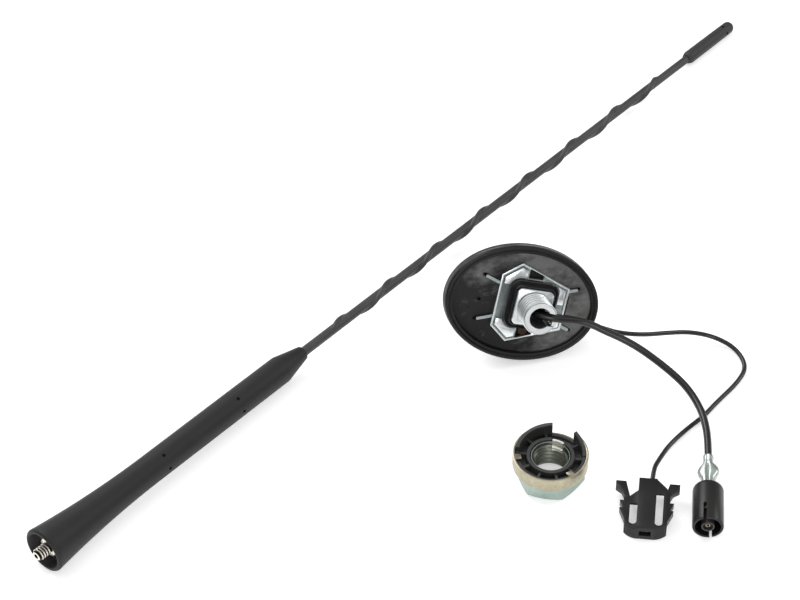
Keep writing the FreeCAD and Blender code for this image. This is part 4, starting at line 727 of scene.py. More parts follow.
def bar(x, y, bearing, length, width, low, high):
    """Bar with a rounded far end that starts at a root and runs out on a bearing."""
    way = Vector((cos(radians(bearing)), sin(radians(bearing))))
    side, root, half = Vector((-way.y, way.x)), Vector((x, y)), width / 2
    end = root + way * (length - half)
    tip = [radians(-90 + 180 * i / 8) for i in range(9)]
    corners = [root + side * half, root - side * half]
    corners += [end + way * (half * cos(a)) + side * (half * sin(a)) for a in tip]
    return slab(corners, low, high)


TABS = [
    spec
    for side in (-1, 1)
    for spec in ((-10.5, side * 7.0, 180 - side * 19.0, 7.1), (17.8, side * 7.3, side * 19.0, 4.5))
]
tabs = [bar(x, y, b, length, 1.2, PLATE_FACE, PLATE_FACE + 0.9) for x, y, b, length in TABS]
WINDOW = [(0.4, 10.7), (6.6, 10.7), (6.6, 12.61), (0.4, 14.86)]
windows = [slab([(x, side * y) for x, y in WINDOW], -1.0, 5.5) for side in (-1, 1)]


def lead_bore():
    """Cutter for the hole that the leads come through."""
    return lathed("lead_bore", [(0, -8.0), (4.35, -8.0), (4.35, 6.0), (0, 6.0)], x=STUD_X)


field = slab(PLATE_FIELD, 0.0, PLATE_FACE)
platform = box((STUD_X - 12.0, -9.5, PLATE_BACK - 0.1), (STUD_X + 12.0, 9.5, 4.5))
edged_plate = worked(slab(PLATE_EDGE, PLATE_FACE - 0.7, PLATE_BACK, "edged_plate"), taken=[field])
edged_plate = worked(edged_plate, [platform], [*windows, lead_bore()], bevel=0.14)

seal_bed = walled("seal_bed", [square_ring(21.6, 4.9, STUD_X, z, 13) for z in (-1.0, 2.0)])
ways = [box((-12.0, -7.5, -1.0), (-0.6, 7.5, 2.0)), box((-0.6, -17.0, -1.0), (13.2, 17.0, 2.0))]
ways += [box((10.0, -1.8, -1.0), (19.0, 1.8, 2.0)), seal_bed]
corner_pads = worked(slab(PAD_FIELD, 0.2, PLATE_FACE + 0.05, "corner_pads"), taken=ways, bevel=0.22)

SHOULDER = [(15.5, 2.2, 1.6), (15.4, 2.2, -3.1), (15.2, 2.2, -3.5), (14.7, 2.4, -3.7)]
shoulder_rings = [square_ring(across, corner, STUD_X, z) for across, corner, z in SHOULDER]
square_shoulder = worked(walled("shoulder", shoulder_rings), taken=[lead_bore()])


BORE_REACH = 0.0046


def zinc_look(place):
    """Die-cast zinc, greyer where it is as cast, white where it is ground and paler on the stud; the thread's
    roots and the bore are painted dark as shade.
    """
    height = place.along(foot_out) - face_level
    faced = place.node("ShaderNodeNewGeometry", {}, "Normal").along(foot_out)
    ground = height.past(-0.0010, 0.0006) * faced.past(0.70, 0.2)
    cloud = place.noise(220.0, 4.0, 0.6)
    marks = place.noise(1300.0, 3.0, 0.65)
    blend = (cloud * 0.8 + marks * 0.5 - 0.15).held()
    cast = blend.between((0.22, 0.26, 0.26), (0.56, 0.61, 0.61))
    white = blend.between((0.74, 0.78, 0.78), (0.97, 0.98, 0.98))
    stud_foot = Vector(FOOT_SPOT) * MM + foot_long * (STUD_X * MM)
    away = place.node("ShaderNodeVectorMath", {0: place, 1: stud_foot}, "Value", operation="DISTANCE")
    reach = (away * away - height * height).maths("SQRT")
    barrel = height.past(0.0038, 0.0002) * (1.0 - ground)
    # Painted shade: the thread's roots and the inside of the bore are coloured dark.
    root = reach.past(0.0069, -0.0005) * reach.past(BORE_REACH, 0.0002) * barrel
    bore = reach.past(BORE_REACH, -0.0002) * barrel
    metal = (ground + barrel * 0.6).held().mix(cast, white)
    return {
        "Base Color": (root * 0.9 + bore * 0.6).over(metal, (0.07, 0.08, 0.08)),
        "Roughness": 0.40 - 0.12 * ground + 0.12 * cloud,
        "Metallic": 1.0,
        "Normal": marks.bump(0.3, 0.00004),
    }


cast_zinc = finish("cast_zinc", zinc_look)
STUD_CLEAR, STUD_TOP, STUD_LENGTH = 6.15, 3.7, 11.2
stud_tube = bmesh.new()
turned(stud_tube, [(4.3, 2.6), (STUD_CLEAR, 2.6), (STUD_CLEAR, STUD_TOP)])
threaded(stud_tube, cast_zinc, STUD_CLEAR, 7.0, 2.0, STUD_TOP, STUD_LENGTH, 110)
turned(
    stud_tube,
    [
        (STUD_CLEAR, 14.9), (6.8, 14.93), (6.97, 15.02), (6.97, 15.15), (6.4, 15.7),
        (4.55, 15.7), (4.3, 15.45), (4.3, 2.6),
    ],
)
stud_barrel = worked(formed(stud_tube, "stud_barrel"), taken=[box((0.0, -2.7, 6.2), (9.0, 2.7, 17.0))])
stud_barrel.data.transform(Matrix.Translation((STUD_X, 0, 0)) @ Matrix.Rotation(pi, 4, "X"))


def together(name, *things):
    """One piece from several that are made of one casting or moulding."""
    form = bmesh.new()
    for thing in things:
        form.from_mesh(thing.data)
        bpy.data.objects.remove(thing)
    return settled(form, name)


roof_stud = together("roof_stud_casting", edged_plate, corner_pads, *tabs, square_shoulder, stud_barrel)
seated(roof_stud, foot_place, cast_zinc, sharp=30.0)
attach(roof_stud, "antenna")
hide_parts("roof_stud")


# Sealing pad
# Oval black moulding under the foot with a standing, grooved lip that presses on the roof.
# The casting lies in its dish, which has pale patches, partly moulding dust and partly painted sheen, and small
# pin marks and holes for the casting.
def pad_look(place):
    """Black plastic; pale patches on the dish, partly dust and partly painted sheen, grow paler towards one end;
    the lip stays clean and the pits are kept black as painted shade.
    """
    height = place.along(foot_out) - face_level
    lip, pit_shade = height.past(-0.0020, 0.0008), height.past(-0.0028, -0.0004)
    paler_way = (foot_long - foot_long.cross(foot_out)) * 0.7
    cloud = place.noise(55.0, 6.0, 0.62)
    fine = place.noise(1800.0, 2.0, 0.6)
    smear = place.stretched((1.0, 1.0, 3.0)).noise(130.0, 6.0, 0.7)
    # Pale patches, partly dust and partly painted sheen, paler towards one end and kept off the lip.
    dust_and_sheen = ((cloud * 0.8 + smear * 0.5 - 0.62 + place.along(paler_way) * 6.5) * 4.0).held() * (1.0 - lip)
    scratch = ((place.noise(700.0, 6.0, 0.8) - 0.62) * 8.0).held() * (1.0 - lip * 0.6)
    clean = fine.between(grey(0.003), grey(0.010))
    return {
        # Painted shade: the pits are kept clean black.
        "Base Color": ((dust_and_sheen * 0.75 + scratch * 0.25).held() * (1.0 - pit_shade)).over(clean, (0.21, 0.21, 0.205)),
        "Roughness": 0.36 + 0.2 * dust_and_sheen + 0.1 * fine,
        "Normal": (fine * 0.6 + smear * 0.4).bump(0.4, 0.00006),
        "Specular IOR Level": 0.32,
    }


pad_black = finish("pad_black", pad_look)
PAD_STEPS = 160
PAD_PROFILE = [
    (0.0, 4.5), (0.0, 1.1), (0.1, 0.6), (0.35, 0.2), (0.8, 0.0), (1.35, 0.02), (1.6, 0.2), (1.75, 0.42),
    (1.95, 0.46), (2.15, 0.3), (2.4, 0.14), (2.75, 0.14), (3.02, 0.36), (3.18, 0.9), (3.3, 2.0), (3.5, 2.36),
    (3.9, 2.5), (7.0, 2.5), (11.0, 2.5), (16.0, 2.5), (20.0, 2.5),
]
pad_rings = [oval_ring(OVAL_HALF[0] - inset, OVAL_HALF[1] - inset, 0.0, z, PAD_STEPS) for inset, z in PAD_PROFILE]
pad = walled("pad_moulding", [[Vector((0, 0, 4.5))], *pad_rings, [Vector((0, 0, 2.5))]])
PAD_BUMPS = [(-17.0, -3.2, 1.0), (-13.1, 15.4, 1.7), (-21.5, 6.0, 0.8), (22.8, -2.5, 1.5), (2.7, 19.7, 0.7)]
bumps = []
for x, y, radius in PAD_BUMPS:
    outline = [(0, 2.7), (radius, 2.7), (radius, 2.34), (radius * 0.8, 2.28), (radius * 0.7, 2.36), (0, 2.38)]
    bumps.append(lathed("bump", outline, x, y, steps=32))
pad_cuts = [bar(x, y, b, length + 1.3, 1.6, 2.2, 4.3) for x, y, b, length in TABS]
pin_hole = lathed("pin_hole", [(0, 2.2), (0.9, 2.2), (0.75, 4.0), (0, 4.0)], -17.8, 1.1, steps=24)
pad_cuts += [pin_hole, box((0.4, 9.3, 2.2), (6.6, 14.4, 4.45))]
pad_cuts += [slab([(x, -y) for x, y in WINDOW], 2.2, 4.0), box((18.2, -5.5, 2.2), (19.5, 5.5, 4.3))]
sealing_pad = worked(pad, bumps, pad_cuts)
seated(sealing_pad, foot_place, pad_black, sharp=40.0)
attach(sealing_pad, "antenna")
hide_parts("sealing_pad")


# Square seal
# Black rubber ring stretched over the casting's square shoulder; it keeps water out of the roof hole.
# It has a low rounded lip outside and a higher one that hugs the shoulder.
seal_rubber = moulded("seal_rubber", grey(0.008), grey(0.020), 0.28, 2400.0, 0.00003, 0.6, 0.4)
SEAL_ACROSS, SEAL_CORNER = 20.6, 4.4
SEAL_PROFILE = [
    (0.0, 1.3), (0.0, -0.35), (0.12, -0.7), (0.36, -0.9), (0.6, -0.78), (0.74, -0.42), (1.0, -0.28),
    (1.26, -0.42), (1.45, -0.8), (1.7, -1.7), (1.88, -2.45), (2.08, -2.68), (2.28, -2.6), (2.4, -2.3),
    (2.4, 1.3),
]
seal_rings = [square_ring(SEAL_ACROSS - 2 * d, SEAL_CORNER - d, STUD_X, z, 13) for d, z in SEAL_PROFILE]
square_seal = seated(walled("seal_ring", seal_rings, loop=True), foot_place, seal_rubber, sharp=50.0)
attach(square_seal, "antenna")
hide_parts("square_seal")


# Amplifier board and the parts on it
# Small laminate board inside the hump with a wound choke, a chip, a coil and a spring strip to the mast socket.
# Only the choke shows, through the window at the plate's edge.
def board_look(place):
    cloud = place.noise(300.0, 3.0)
    weave = place.noise(2400.0, 1.0)
    return {
        "Base Color": (cloud * 0.5 + weave * 0.5).between((0.02, 0.10, 0.05), (0.05, 0.18, 0.09)),
        "Roughness": 0.35 + 0.2 * weave,
        "Normal": weave.bump(0.2, 0.00003),
    }


def winding_look(place):
    turns = place.stretched((1.0, 1.0, 4.0)).noise(1500.0, 2.0)
    cloud = place.noise(500.0, 3.0)
    return {
        "Base Color": (turns * 0.6 + cloud * 0.4).between((0.02, 0.011, 0.007), (0.12, 0.06, 0.035)),
        "Roughness": 0.25 + 0.25 * turns,
        "Metallic": 0.6,
        "Normal": turns.bump(0.6, 0.0001),
    }


copper = finish("wound_copper", winding_look)
dressed("amplifier_board", finish("laminate", board_look))
dressed("input_choke", copper)
dressed("filter_coil", copper)
dressed("amplifier_chip", moulded("chip_black", grey(0.012), grey(0.024), 0.6, 2000.0, 0.00003))
dressed("contact_strip", bright_metal("spring_metal", (0.82, 0.78, 0.66), (0.6, 0.56, 0.45), 0.3, 900.0, 0.00002))


# Leads
# Two black plastic-covered leads that come out of the stud's bore through its slot: the thicker coaxial one
# to the round aerial plug, the thinner supply one to the flat latching housing.
def cable_look(place):
    cloud = place.noise(90.0, 4.0, 0.6)
    fine = place.noise(2200.0, 2.0, 0.6)
    rub = ((place.noise(350.0, 5.0, 0.7) - 0.6) * 5.0).held()
    clean = (cloud * 0.6 + fine * 0.4).between(grey(0.003), grey(0.009))
    return {
        "Base Color": (rub * 0.4).over(clean, grey(0.035)),
        "Roughness": 0.21 + 0.12 * cloud + 0.1 * fine,
        "Normal": fine.bump(0.25, 0.00002),
        "Specular IOR Level": 0.5,
    }


cable_black = finish("cable_black", cable_look)


def foot_spot(x, y, z):
    """Point of the shared frame, in metres, from the foot's own millimetres."""
    return foot_place @ Vector((STUD_X + x, y, z))


def lead(name, route, diameter):
    """Round lead along a smooth line that its route's points guide."""
    line = bpy.data.curves.new(name, "CURVE")
    line.dimensions = "3D"
    spline = line.splines.new("NURBS")
    spline.points.add(len(route) - 1)
    for point, spot in zip(spline.points, route):
        point.co = (*spot, 1.0)
    spline.order_u = 3
    spline.use_endpoint_u = True
    spline.resolution_u = 10
    line.bevel_depth, line.bevel_resolution = diameter / 2, 6
    line.use_fill_caps = True
    line.materials.append(cable_black)
    return shown(name, line)


PLUG_SPOT = (-29.9, -119.8, 6.1)
plug_turn, plug_roll = radians(38.0), radians(14.0)
plug_out = Vector((-cos(plug_turn), -sin(plug_turn), 0))
plug_right, upward = Vector((0, 0, 1)).cross(plug_out), Vector((0, 0, 1))
plug_place = placed(
    PLUG_SPOT,
    plug_right * cos(plug_roll) + upward * sin(plug_roll),
    upward * cos(plug_roll) - plug_right * sin(plug_roll),
    plug_out,
)
ferrule_mouth, ferrule_entry = plug_place @ Vector((0, 0, -36.8)), plug_place @ Vector((0, 0, -31.8))
LATCH_SPOT = (-36.1, -94.6, 0.0)
latch_turn = radians(36.0)
latch_back = Vector((cos(latch_turn), sin(latch_turn), 0))
latch_place = placed(LATCH_SPOT, latch_back.cross(upward), latch_back, upward)
wire_mouth, wire_entry = latch_place @ Vector((1.42, 13.05, 3.2)), latch_place @ Vector((1.42, 7.05, 3.2))

AERIAL_DIAMETER, SUPPLY_DIAMETER = 0.0030, 0.0019
aerial_route = [
    foot_spot(-1.2, 0, 3.0),
    foot_spot(-1.2, 0, -6.0),
    foot_spot(-0.1, 0, -10.6),
    foot_spot(4.7, 0, -12.6),
    foot_spot(10.5, 0, -12.6),
    (0.0082, -0.0213, 0.0242),
    (0.0119, -0.0262, 0.0224),
    (0.0145, -0.0311, 0.0200),
    (0.0184, -0.0380, 0.0169),
    (0.0213, -0.0457, 0.0136),
    (0.0231, -0.0574, 0.0094),
    (0.0228, -0.0676, 0.0066),
    (0.0179, -0.0784, 0.0058),
    (0.0114, -0.0865, 0.0058),
    ferrule_mouth + (ferrule_mouth - ferrule_entry) * 0.9,
    ferrule_entry,
]
supply_route = [
    foot_spot(2.1, 0, 3.0),
    foot_spot(2.1, 0, -4.0),
    foot_spot(3.9, 0, -8.2),
    foot_spot(9.0, 0, -9.2),
    (0.0096, -0.0186, 0.0225),
    (0.0133, -0.0243, 0.0203),
    (0.0168, -0.0289, 0.0182),
    (0.0206, -0.0337, 0.0160),
    (0.0289, -0.0396, 0.0126),
    (0.0403, -0.0445, 0.0086),
    (0.0486, -0.0487, 0.0056),
    (0.0555, -0.0558, 0.0026),
    (0.0573, -0.0659, 0.0013),
    (0.0523, -0.0755, 0.0010),
    (0.0426, -0.0782, 0.0010),
    (0.0286, -0.0786, 0.0010),
    (0.0187, -0.0796, 0.0010),
    (0.0094, -0.0788, 0.0010),
    (-0.0023, -0.0791, 0.0012),
    (-0.0117, -0.0815, 0.0022),
    wire_mouth + (wire_mouth - wire_entry) * 1.2,
    wire_entry,
]
aerial_lead = lead("aerial_lead", aerial_route, AERIAL_DIAMETER)
supply_lead = lead("supply_lead", supply_route, SUPPLY_DIAMETER)
for thing, node in ((aerial_lead, "aerial_cable"), (supply_lead, "supply_cable")):
    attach(thing, "antenna")
    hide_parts(node)


# Aerial plug
# Black moulded sleeve with a keyway and a split, round a drawn shell, an insulator and a sprung pin.
# The sleeve snaps over the parts that are crimped to the coaxial lead.
plug_black = moulded("plug_black", grey(0.005), (0.012, 0.012, 0.011), 0.36, 1900.0, 0.00004, 0.34, 0.35)
sleeve_side = [(2.8, -20.6), (3.7, -20.6), *arc((3.7, -20.6), (6.1, -18.2), 2.4, 1, 9)]
sleeve_side += [(6.1, -10.0), (6.1, -0.5), (5.98, -0.14), (5.7, 0.0), (5.3, 0.0), (5.06, -0.14), (5.0, -0.45)]
sleeve_side += [(5.0, -9.0), (4.36, -9.0), (4.36, -18.2), (2.8, -18.2)]
sleeve = lathed("sleeve_moulding", sleeve_side, steps=96, loop=True)
key_way = slab([(0.65, 1.0), (0.65, -7.4), (0.35, -7.9), (-0.35, -7.9), (-0.65, -7.4), (-0.65, 1.0)], -7.6, -4.4)
key_way.data.transform(Matrix.Rotation(radians(90), 4, "X"))
split = box((-0.55, -7.6, -5.4), (0.55, -4.4, 1.0))
plug_sleeve = seated(worked(sleeve, taken=[key_way, split]), plug_place, plug_black)
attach(plug_sleeve, "antenna")
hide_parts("plug_sleeve")

plated_sheet = bright_metal("plated_sheet", (0.66, 0.71, 0.67), (0.30, 0.34, 0.32), 0.36, 500.0, 0.00005)
SHELL_SIDE = [(3.95, -18.2), (4.3, -18.2), (4.3, -6.85), (4.22, -6.64), (4.05, -6.6), (3.95, -6.72)]
shell = lathed("plug_shell_drawn", SHELL_SIDE, loop=True)
# Painted shade: the drawn shell deep inside the sleeve is given a near-black metal finish.
shell_shade_dark = bright_metal("shell_shade_dark", (0.16, 0.16, 0.15), grey(0.07), 0.4, 700.0, 0.00003)
plug_shell = seated(shell, plug_place, shell_shade_dark)
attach(plug_shell, "antenna")
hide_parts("plug_shell")

INSULATOR_DARK, INSULATOR_LIGHT = (0.02, 0.018, 0.018), (0.05, 0.045, 0.044)
insulator_black = moulded("insulator_black", INSULATOR_DARK, INSULATOR_LIGHT, 0.35, 1600.0, 0.00003, 0.5)
CORE_SIDE = [
    (1.05, -18.2), (3.9, -18.2), (3.9, -9.0), (2.6, -9.0), (2.6, -0.5), (2.5, -0.26), (2.3, -0.2),
    (2.05, -0.24), (1.9, -0.45), (1.9, -1.6), (1.05, -1.6),
]
plug_insulator = seated(lathed("plug_core", CORE_SIDE, loop=True), plug_place, insulator_black)
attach(plug_insulator, "antenna")
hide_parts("plug_insulator")

PIN_SIDE = [
    (0, -18.2), (1.0, -18.2), (1.0, -1.15), (0.92, -0.95), (0.75, -0.9), (0.6, -0.95), (0.5, -1.1),
    (0.5, -9.0), (0, -9.0),
]
pin = lathed("plug_pin_sprung", PIN_SIDE, steps=40)
pin_split = box((-0.16, -1.4, -6.0), (0.16, 1.4, 0.0))
dull_brass = bright_metal("dull_brass", (0.46, 0.42, 0.34), (0.22, 0.20, 0.16), 0.34, 900.0, 0.00002)
plug_pin = seated(worked(pin, taken=[pin_split]), plug_place, dull_brass)
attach(plug_pin, "antenna")
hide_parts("plug_pin")


# Crimp ferrule
# Tinned sheet metal folded round the lead: a narrow barrel, and two broad ears curled over behind the sleeve.
# The seam where the ears meet lies on top.
FERRULE_STATIONS = [
    (-18.3, 2.7, 2.7, 0.0), (-20.4, 2.75, 2.4, 0.2), (-22.5, 2.8, 2.1, 0.6), (-25.0, 2.9, 2.1, 0.7),
    (-26.2, 3.6, 2.1, 0.9), (-27.4, 4.15, 2.1, 0.9), (-28.6, 4.35, 2.1, 0.9), (-29.8, 4.2, 2.05, 0.8),
    (-31.0, 3.6, 2.0, 0.6), (-32.0, 2.75, 2.0, 0.4), (-32.7, 2.2, 2.0, 0.3), (-33.4, 2.05, 2.0, 0.3),
    (-34.4, 1.9, 1.85, 0.3), (-35.4, 2.05, 2.0, 0.3), (-36.6, 2.1, 2.05, 0.2), (-36.8, 2.0, 1.95, 0.1),
]


def ferrule_ring(z, half_width, half_height, seam, steps=56):
    ring = []
    for i in range(steps):
        a = tau * i / steps
        x = half_width * copysign(abs(cos(a)) ** 0.85, cos(a))
        y = half_height * copysign(abs(sin(a)) ** 0.85, sin(a))
        if y > 0:
            y -= seam * exp(-((x / 0.45) ** 2))
        ring.append(Vector((x, y, z)))
    return ring


ferrule_rings = [ferrule_ring(*station) for station in FERRULE_STATIONS]
ferrule_rings += [ferrule_ring(-36.8, 1.54, 1.54, 0.0), ferrule_ring(-31.9, 1.54, 1.54, 0.0)]
ferrule = walled("ferrule_fold", [[Vector((0, 0, -18.3))], *ferrule_rings, [Vector((0, 0, -31.9))]])
crimp_ferrule = seated(ferrule, plug_place, plated_sheet, sharp=45.0)
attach(crimp_ferrule, "antenna")
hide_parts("crimp_ferrule")


# Socket housing
# Flat black moulding on the supply lead: a thick spine and round nose, two windows, and a sprung arm each side
# with two barbs and a bent finger grip. A folded contact shows in the mouth of the nose.
ARM_LOW, ARM_HIGH, HOUSING_TOP = 3.1, 6.1, 6.4
BACK, NOSE, NOSE_START = 13.05, -13.05, -8.65


def barbed_side(side):
    corners = [(9.0, 1.05), (10.5, 1.05), (9.3, -2.65), (9.3, -2.85), (10.5, -2.85), (8.3, NOSE_START)]
    return [(side * x, y) for x, y in corners]


arm_corners = [(-3.5, BACK - 0.1), (3.5, BACK - 0.1), (7.6, 8.45), (9.0, 3.45), *barbed_side(1)]
arm_corners += [*reversed(barbed_side(-1)), (-9.0, 3.45), (-6.6, 3.45), (-3.5, 6.75)]
arm_plate = slab(arm_corners, ARM_LOW, ARM_HIGH, "arm_plate")
housing_parts = [box((-3.55, -12.05, 0.0), (3.55, BACK, HOUSING_TOP))]
nose_corners = [(-8.3, NOSE_START), (-8.3, -10.41), *arc((-8.3, -10.41), (-3.55, NOSE), 7.4, 1, 8), (3.55, NOSE)]
nose_corners += [*arc((3.55, NOSE), (8.3, -10.41), 7.4, 1, 8), (8.3, NOSE_START)]
housing_parts.append(slab(nose_corners, 0.02, HOUSING_TOP - 0.02))
for side in (-1, 1):
    finger = [(6.6, 2.95), (8.5, 11.05), (12.5, 11.05), (12.5, 8.45), (10.1, 6.63), (8.5, 2.95)]
    housing_parts.append(slab([(side * x, y) for x, y in finger], ARM_LOW + 0.02, ARM_HIGH - 0.02))


def window(x, low, high, half=1.45):
    """Cutter for a window that is round at the nose end."""
    tip = [radians(180 + 180 * i / 10) for i in range(11)]
    corners = [(x + half, high), (x - half, high)]
    corners += [(x + half * cos(a), low + half + half * sin(a)) for a in tip]
    return slab(corners, -1.0, 8.0)


housing_cuts = [window(-5.0, -11.05, -0.35), window(5.0, -11.05, 5.55)]
housing_cuts += [box((-2.3, -14.0, 1.9), (2.3, -6.05, 4.5)), box((0.42, 6.0, 2.2), (2.42, 14.0, 4.2))]
housing_cuts += [box((-6.45, -11.0, 3.0), (-3.55, 2.05, 5.1)), box((3.55, -11.0, 3.0), (6.45, 7.95, 5.1))]
housing_body = worked(arm_plate, housing_parts, housing_cuts, bevel=0.18)


def rib_row(start, size):
    """Row of small upright bars that stand on an arc, each along its own radius."""
    row = start.node("GeometryNodeMeshLine", {"Count": size["Count"]})
    number = start.node("GeometryNodeInputIndex", {})
    angle = size["First bearing"] + size["Step"] * number
    middle = (size["Inner"] + size["Outer"]) / 2.0
    level = (size["Low"] + size["High"]) / 2.0
    spot = {"X": middle * angle.maths("COSINE"), "Y": middle * angle.maths("SINE"), "Z": level}
    moved = {"Geometry": row, "Position": start.node("ShaderNodeCombineXYZ", spot)}
    points = start.node("GeometryNodeSetPosition", moved)
    bar_size = {"X": size["Outer"] - size["Inner"], "Y": size["Width"], "Z": size["High"] - size["Low"]}
    rib = start.node("GeometryNodeMeshCube", {"Size": start.node("ShaderNodeCombineXYZ", bar_size)})
    lean = start.node("ShaderNodeCombineXYZ", {"Z": angle})
    stood = {"Points": points, "Instance": rib, "Rotation": lean}
    return start.node("GeometryNodeInstanceOnPoints", stood)


RIB_KNOBS = ["Count", "First bearing", "Step", "Inner", "Outer", "Width", "Low", "High"]
rib_tree = pattern("rib_row", RIB_KNOBS, rib_row)


def ribs(name, x, y, **sizes):
    """Row of ribs round a spot."""
    form = bmesh.new()
    grown(form, rib_tree, **sizes)
    form.transform(Matrix.Translation((x, y, 0)))
    return formed(form, name)


nose_ribs = []
for side, first in ((-1, -137.0), (1, -79.0)):
    rib_sizes = {"Count": 7, "First bearing": radians(first), "Step": radians(6.0), "Width": 0.42}
    rib_sizes |= {"Inner": 7.2, "Outer": 7.55, "Low": 0.5, "High": 5.7}
    nose_ribs.append(ribs("nose_ribs", side * 2.58, -5.71, Finish=plug_black, **rib_sizes))
socket_housing = together("housing_moulding", housing_body, *nose_ribs)
seated(socket_housing, latch_place, plug_black, sharp=30.0)
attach(socket_housing, "antenna")
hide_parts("socket_housing")
dressed("socket_contact", plated_sheet)


# Clamp nut
# Hexagon nut of zinc-plated steel with an M14 thread and a collar; one part of its rim is staked up and notched.
# It screws onto the roof stud from inside the car.
NUT_SPOT = (-46.3, -54.2, 0.0)
shared_ways = (Vector((1, 0, 0)), Vector((0, 1, 0)), Vector((0, 0, 1)))
nut_place = placed(NUT_SPOT, *shared_ways) @ Matrix.Rotation(radians(-59.3), 4, "Z")


def nut_look(place):
    """Pale zinc plate outside; the thread inside is painted darker as shade."""
    across = place.axis("X") - NUT_SPOT[0] * MM
    along = place.axis("Y") - NUT_SPOT[1] * MM
    height = place.axis("Z")
    reach = (across * across + along * along).maths("SQRT")
    turn = along.maths("ARCTAN2", across) - radians(15.0)
    staked = ((0.35 - turn.maths("ABSOLUTE")) * 50.0).held() * height.past(0.0086, 0.0002)
    # Painted shade: inside the bore the plate is coloured dark.
    inside = reach.past(0.00745, -0.0002) * height.past(0.0124, -0.0004) * (1.0 - staked)
    staked = staked * reach.past(0.00785, -0.0001)
    cloud = place.noise(160.0, 4.0, 0.6)
    marks = place.noise(420.0, 3.0, 0.65)
    blend = (cloud * 0.8 + marks * 0.5 - 0.15).held()
    outer = blend.between((0.20, 0.27, 0.24), (0.52, 0.62, 0.57))
    bore = blend.between((0.07, 0.075, 0.06), (0.24, 0.25, 0.21))
    plated = inside.mix(outer, bore)
    return {
        "Base Color": staked.over(plated, (0.95, 0.95, 0.88)),
        "Roughness": 0.28 + 0.16 * cloud + 0.1 * marks,
        "Metallic": 1.0,
        "Normal": marks.bump(0.35, 0.00004),
    }


nut_zinc = finish("nut_zinc", nut_look)
nut_reach, NUT_ROUND, NUT_BORE, NUT_TOP = hexagon(24.0), 11.64, 6.95, 12.2
chamfer_lean = tan(radians(30))
nut = bmesh.new()
turned(
    nut,
    [
        (NUT_BORE, 0.8), (7.25, 0.0), (NUT_ROUND, 0.0),
        (nut_reach, lambda a: (nut_reach(a) - NUT_ROUND) * chamfer_lean),
        (nut_reach, lambda a: 7.5 - (nut_reach(a) - 11.9) * 0.25),
        (11.7, 7.5), (7.7, 7.5), (7.7, NUT_TOP - 0.2), (7.6, NUT_TOP), (7.42, NUT_TOP), (NUT_BORE, 11.3),
    ],
)
threaded(nut, nut_zinc, NUT_BORE, 6.2, 2.0, 0.8, 10.5, 110)
STAKE_FIRST, STAKE_SPAN, STAKE_NOTCHES = radians(-4.0 + 59.3), radians(38.0), 11
stake_rings = []
for i in range(4 * STAKE_NOTCHES + 1):
    turn = STAKE_FIRST + STAKE_SPAN * i / (4 * STAKE_NOTCHES)
    inner = 6.35 + (0.3 if i % 4 in (1, 2) else 0.0)
    corners = [(inner, 8.7), (7.1, 8.7), (7.6, 12.0), (7.7, 13.7), (7.55, 13.9)]
    corners += [(inner + 0.5, 13.9), (inner + 0.3, 13.7)]
    stake_rings.append([Vector((r * cos(turn), r * sin(turn), z)) for r, z in corners])
hex_nut = together("nut_forging", formed(nut, "nut"), walled("stake", stake_rings))
seated(hex_nut, nut_place, nut_zinc, sharp=25.0)
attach(hex_nut, "antenna")
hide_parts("hex_nut")


# Claw ring
# Pressed steel cup with a yellowish zinc finish that turns on the nut's collar.
# One side is open, and two small tabs are bent in over the insert to hold it.
ring_place = placed(NUT_SPOT, *shared_ways)
GAP_START, GAP_END = -6.0, 37.0
RING_LOW, RING_TOP, GAP_FLOOR = 7.6, 13.9, 9.8


def stepped_angles(*breaks):
    """Angles round a ring with a pair close together at every break, so that a step there stays sharp."""
    spots = [2.5 * i for i in range(144)] + [b % 360 - 0.02 for b in breaks] + [b % 360 + 0.02 for b in breaks]
    return sorted(radians(s) for s in spots if s not in [b % 360 for b in breaks])


def in_gap(angle):
    return (degrees(angle) - GAP_START) % 360 < GAP_END - GAP_START


def ring_level(drop):
    return lambda angle: (GAP_FLOOR if in_gap(angle) else RING_TOP) - drop


ring_zinc = bright_metal("ring_zinc", (0.66, 0.62, 0.48), (0.17, 0.145, 0.08), 0.34, 420.0, 0.0001)
cup_side = [(7.9, RING_LOW), (14.1, RING_LOW), *arc((14.1, RING_LOW), (14.9, 8.4), 0.8, 1, 5)]
cup_side += [(14.9, 9.2), (14.9, ring_level(0.22)), (14.82, ring_level(0.06)), (14.65, ring_level(0.0))]
cup_side += [(14.2, ring_level(0.0)), (14.05, ring_level(0.08)), (14.0, ring_level(0.22))]
cup_side += [(14.0, 8.8), (13.85, 8.6), (7.9, 8.6)]
cup = lathed("ring_pressing", cup_side, loop=True, angles=stepped_angles(GAP_START, GAP_END))
ring_tabs = []
for bearing in (140.0, 256.0):
    tab = box((11.75, -1.3, 13.22), (14.5, 1.3, 13.88))
    tab.data.transform(Matrix.Rotation(radians(bearing), 4, "Z"))
    ring_tabs.append(tab)
claw_ring = worked(cup, ring_tabs, bevel=0.1, bevel_angle=55.0)
seated(claw_ring, ring_place, ring_zinc, sharp=35.0)
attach(claw_ring, "claw_ring")
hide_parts("claw_ring")


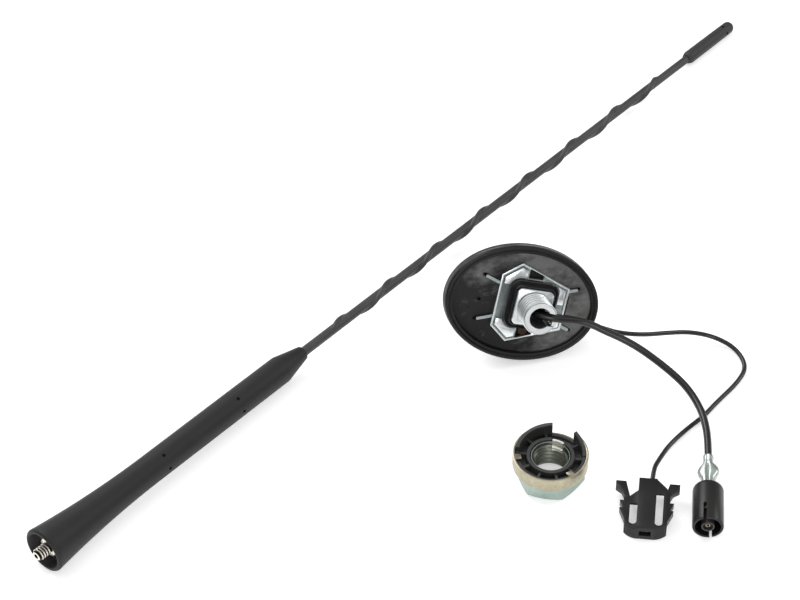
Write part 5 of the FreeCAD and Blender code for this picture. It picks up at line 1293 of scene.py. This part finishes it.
# Centring insert
# Black plastic channel pressed into the ring, with thin ribs across it and two claws that slope up beside the gap.
# The claws find the hole in the roof while the nut is tightened.
INSERT_LOW, INSERT_WEB, INSERT_GAP, INSERT_TOP, CLAW_TOP = 8.6, 9.4, 10.4, 12.8, 16.5
CLAW_REACH, CLAW_RISE, LEFT_RUN, RIGHT_RUN = 13.2, 3.7, 29.8, 10.7
LEFT_CLAW, RIGHT_CLAW = (37.0, 122.0), (-52.0, -6.0)


def insert_level(drop):
    return lambda angle: (INSERT_GAP if in_gap(angle) else INSERT_TOP) - drop


def claw_level(drop):
    def level(angle):
        spot = degrees(angle)
        if in_gap(angle):
            return INSERT_GAP - drop
        past_left = (spot - LEFT_CLAW[0]) % 360
        if past_left < LEFT_CLAW[1] - LEFT_CLAW[0]:
            return CLAW_TOP - CLAW_REACH * sin(radians(past_left)) * CLAW_RISE / LEFT_RUN - drop
        past_right = (RIGHT_CLAW[1] - spot) % 360
        if past_right < RIGHT_CLAW[1] - RIGHT_CLAW[0]:
            return CLAW_TOP - CLAW_REACH * sin(radians(past_right)) * CLAW_RISE / RIGHT_RUN - drop
        return INSERT_TOP - drop

    return level


insert_black = moulded("insert_black", grey(0.018), (0.042, 0.042, 0.041), 0.40, 1700.0, 0.00004, 0.5, 0.35)
CHANNEL_RIBS = {"Count": 9, "First bearing": radians(49.0), "Step": radians(293.0 / 8), "Width": 1.0}
CHANNEL_RIBS |= {"Inner": 9.3, "Outer": 12.6, "Low": 8.7, "High": 11.8}
channel_side = [
    (8.05, INSERT_LOW), (13.9, INSERT_LOW), (13.95, 8.75), (13.95, claw_level(0.15)), (13.82, claw_level(0.0)),
    (12.58, claw_level(0.0)), (12.45, claw_level(0.15)), (12.45, 9.6), (12.3, INSERT_WEB), (9.6, INSERT_WEB),
    (9.45, 9.6), (9.45, insert_level(0.15)), (9.3, insert_level(0.0)), (8.2, insert_level(0.0)),
    (8.05, insert_level(0.15)),
]
breaks = (GAP_START, GAP_END, LEFT_CLAW[1], RIGHT_CLAW[0])
channel = lathed("channel", channel_side, loop=True, angles=stepped_angles(*breaks))
channel_ribs = ribs("channel_ribs", 0, 0, Finish=insert_black, **CHANNEL_RIBS)
centring_insert = together("insert_moulding", channel, channel_ribs)
seated(centring_insert, ring_place, insert_black, sharp=30.0)
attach(centring_insert, "claw_ring")
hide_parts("centring_insert")
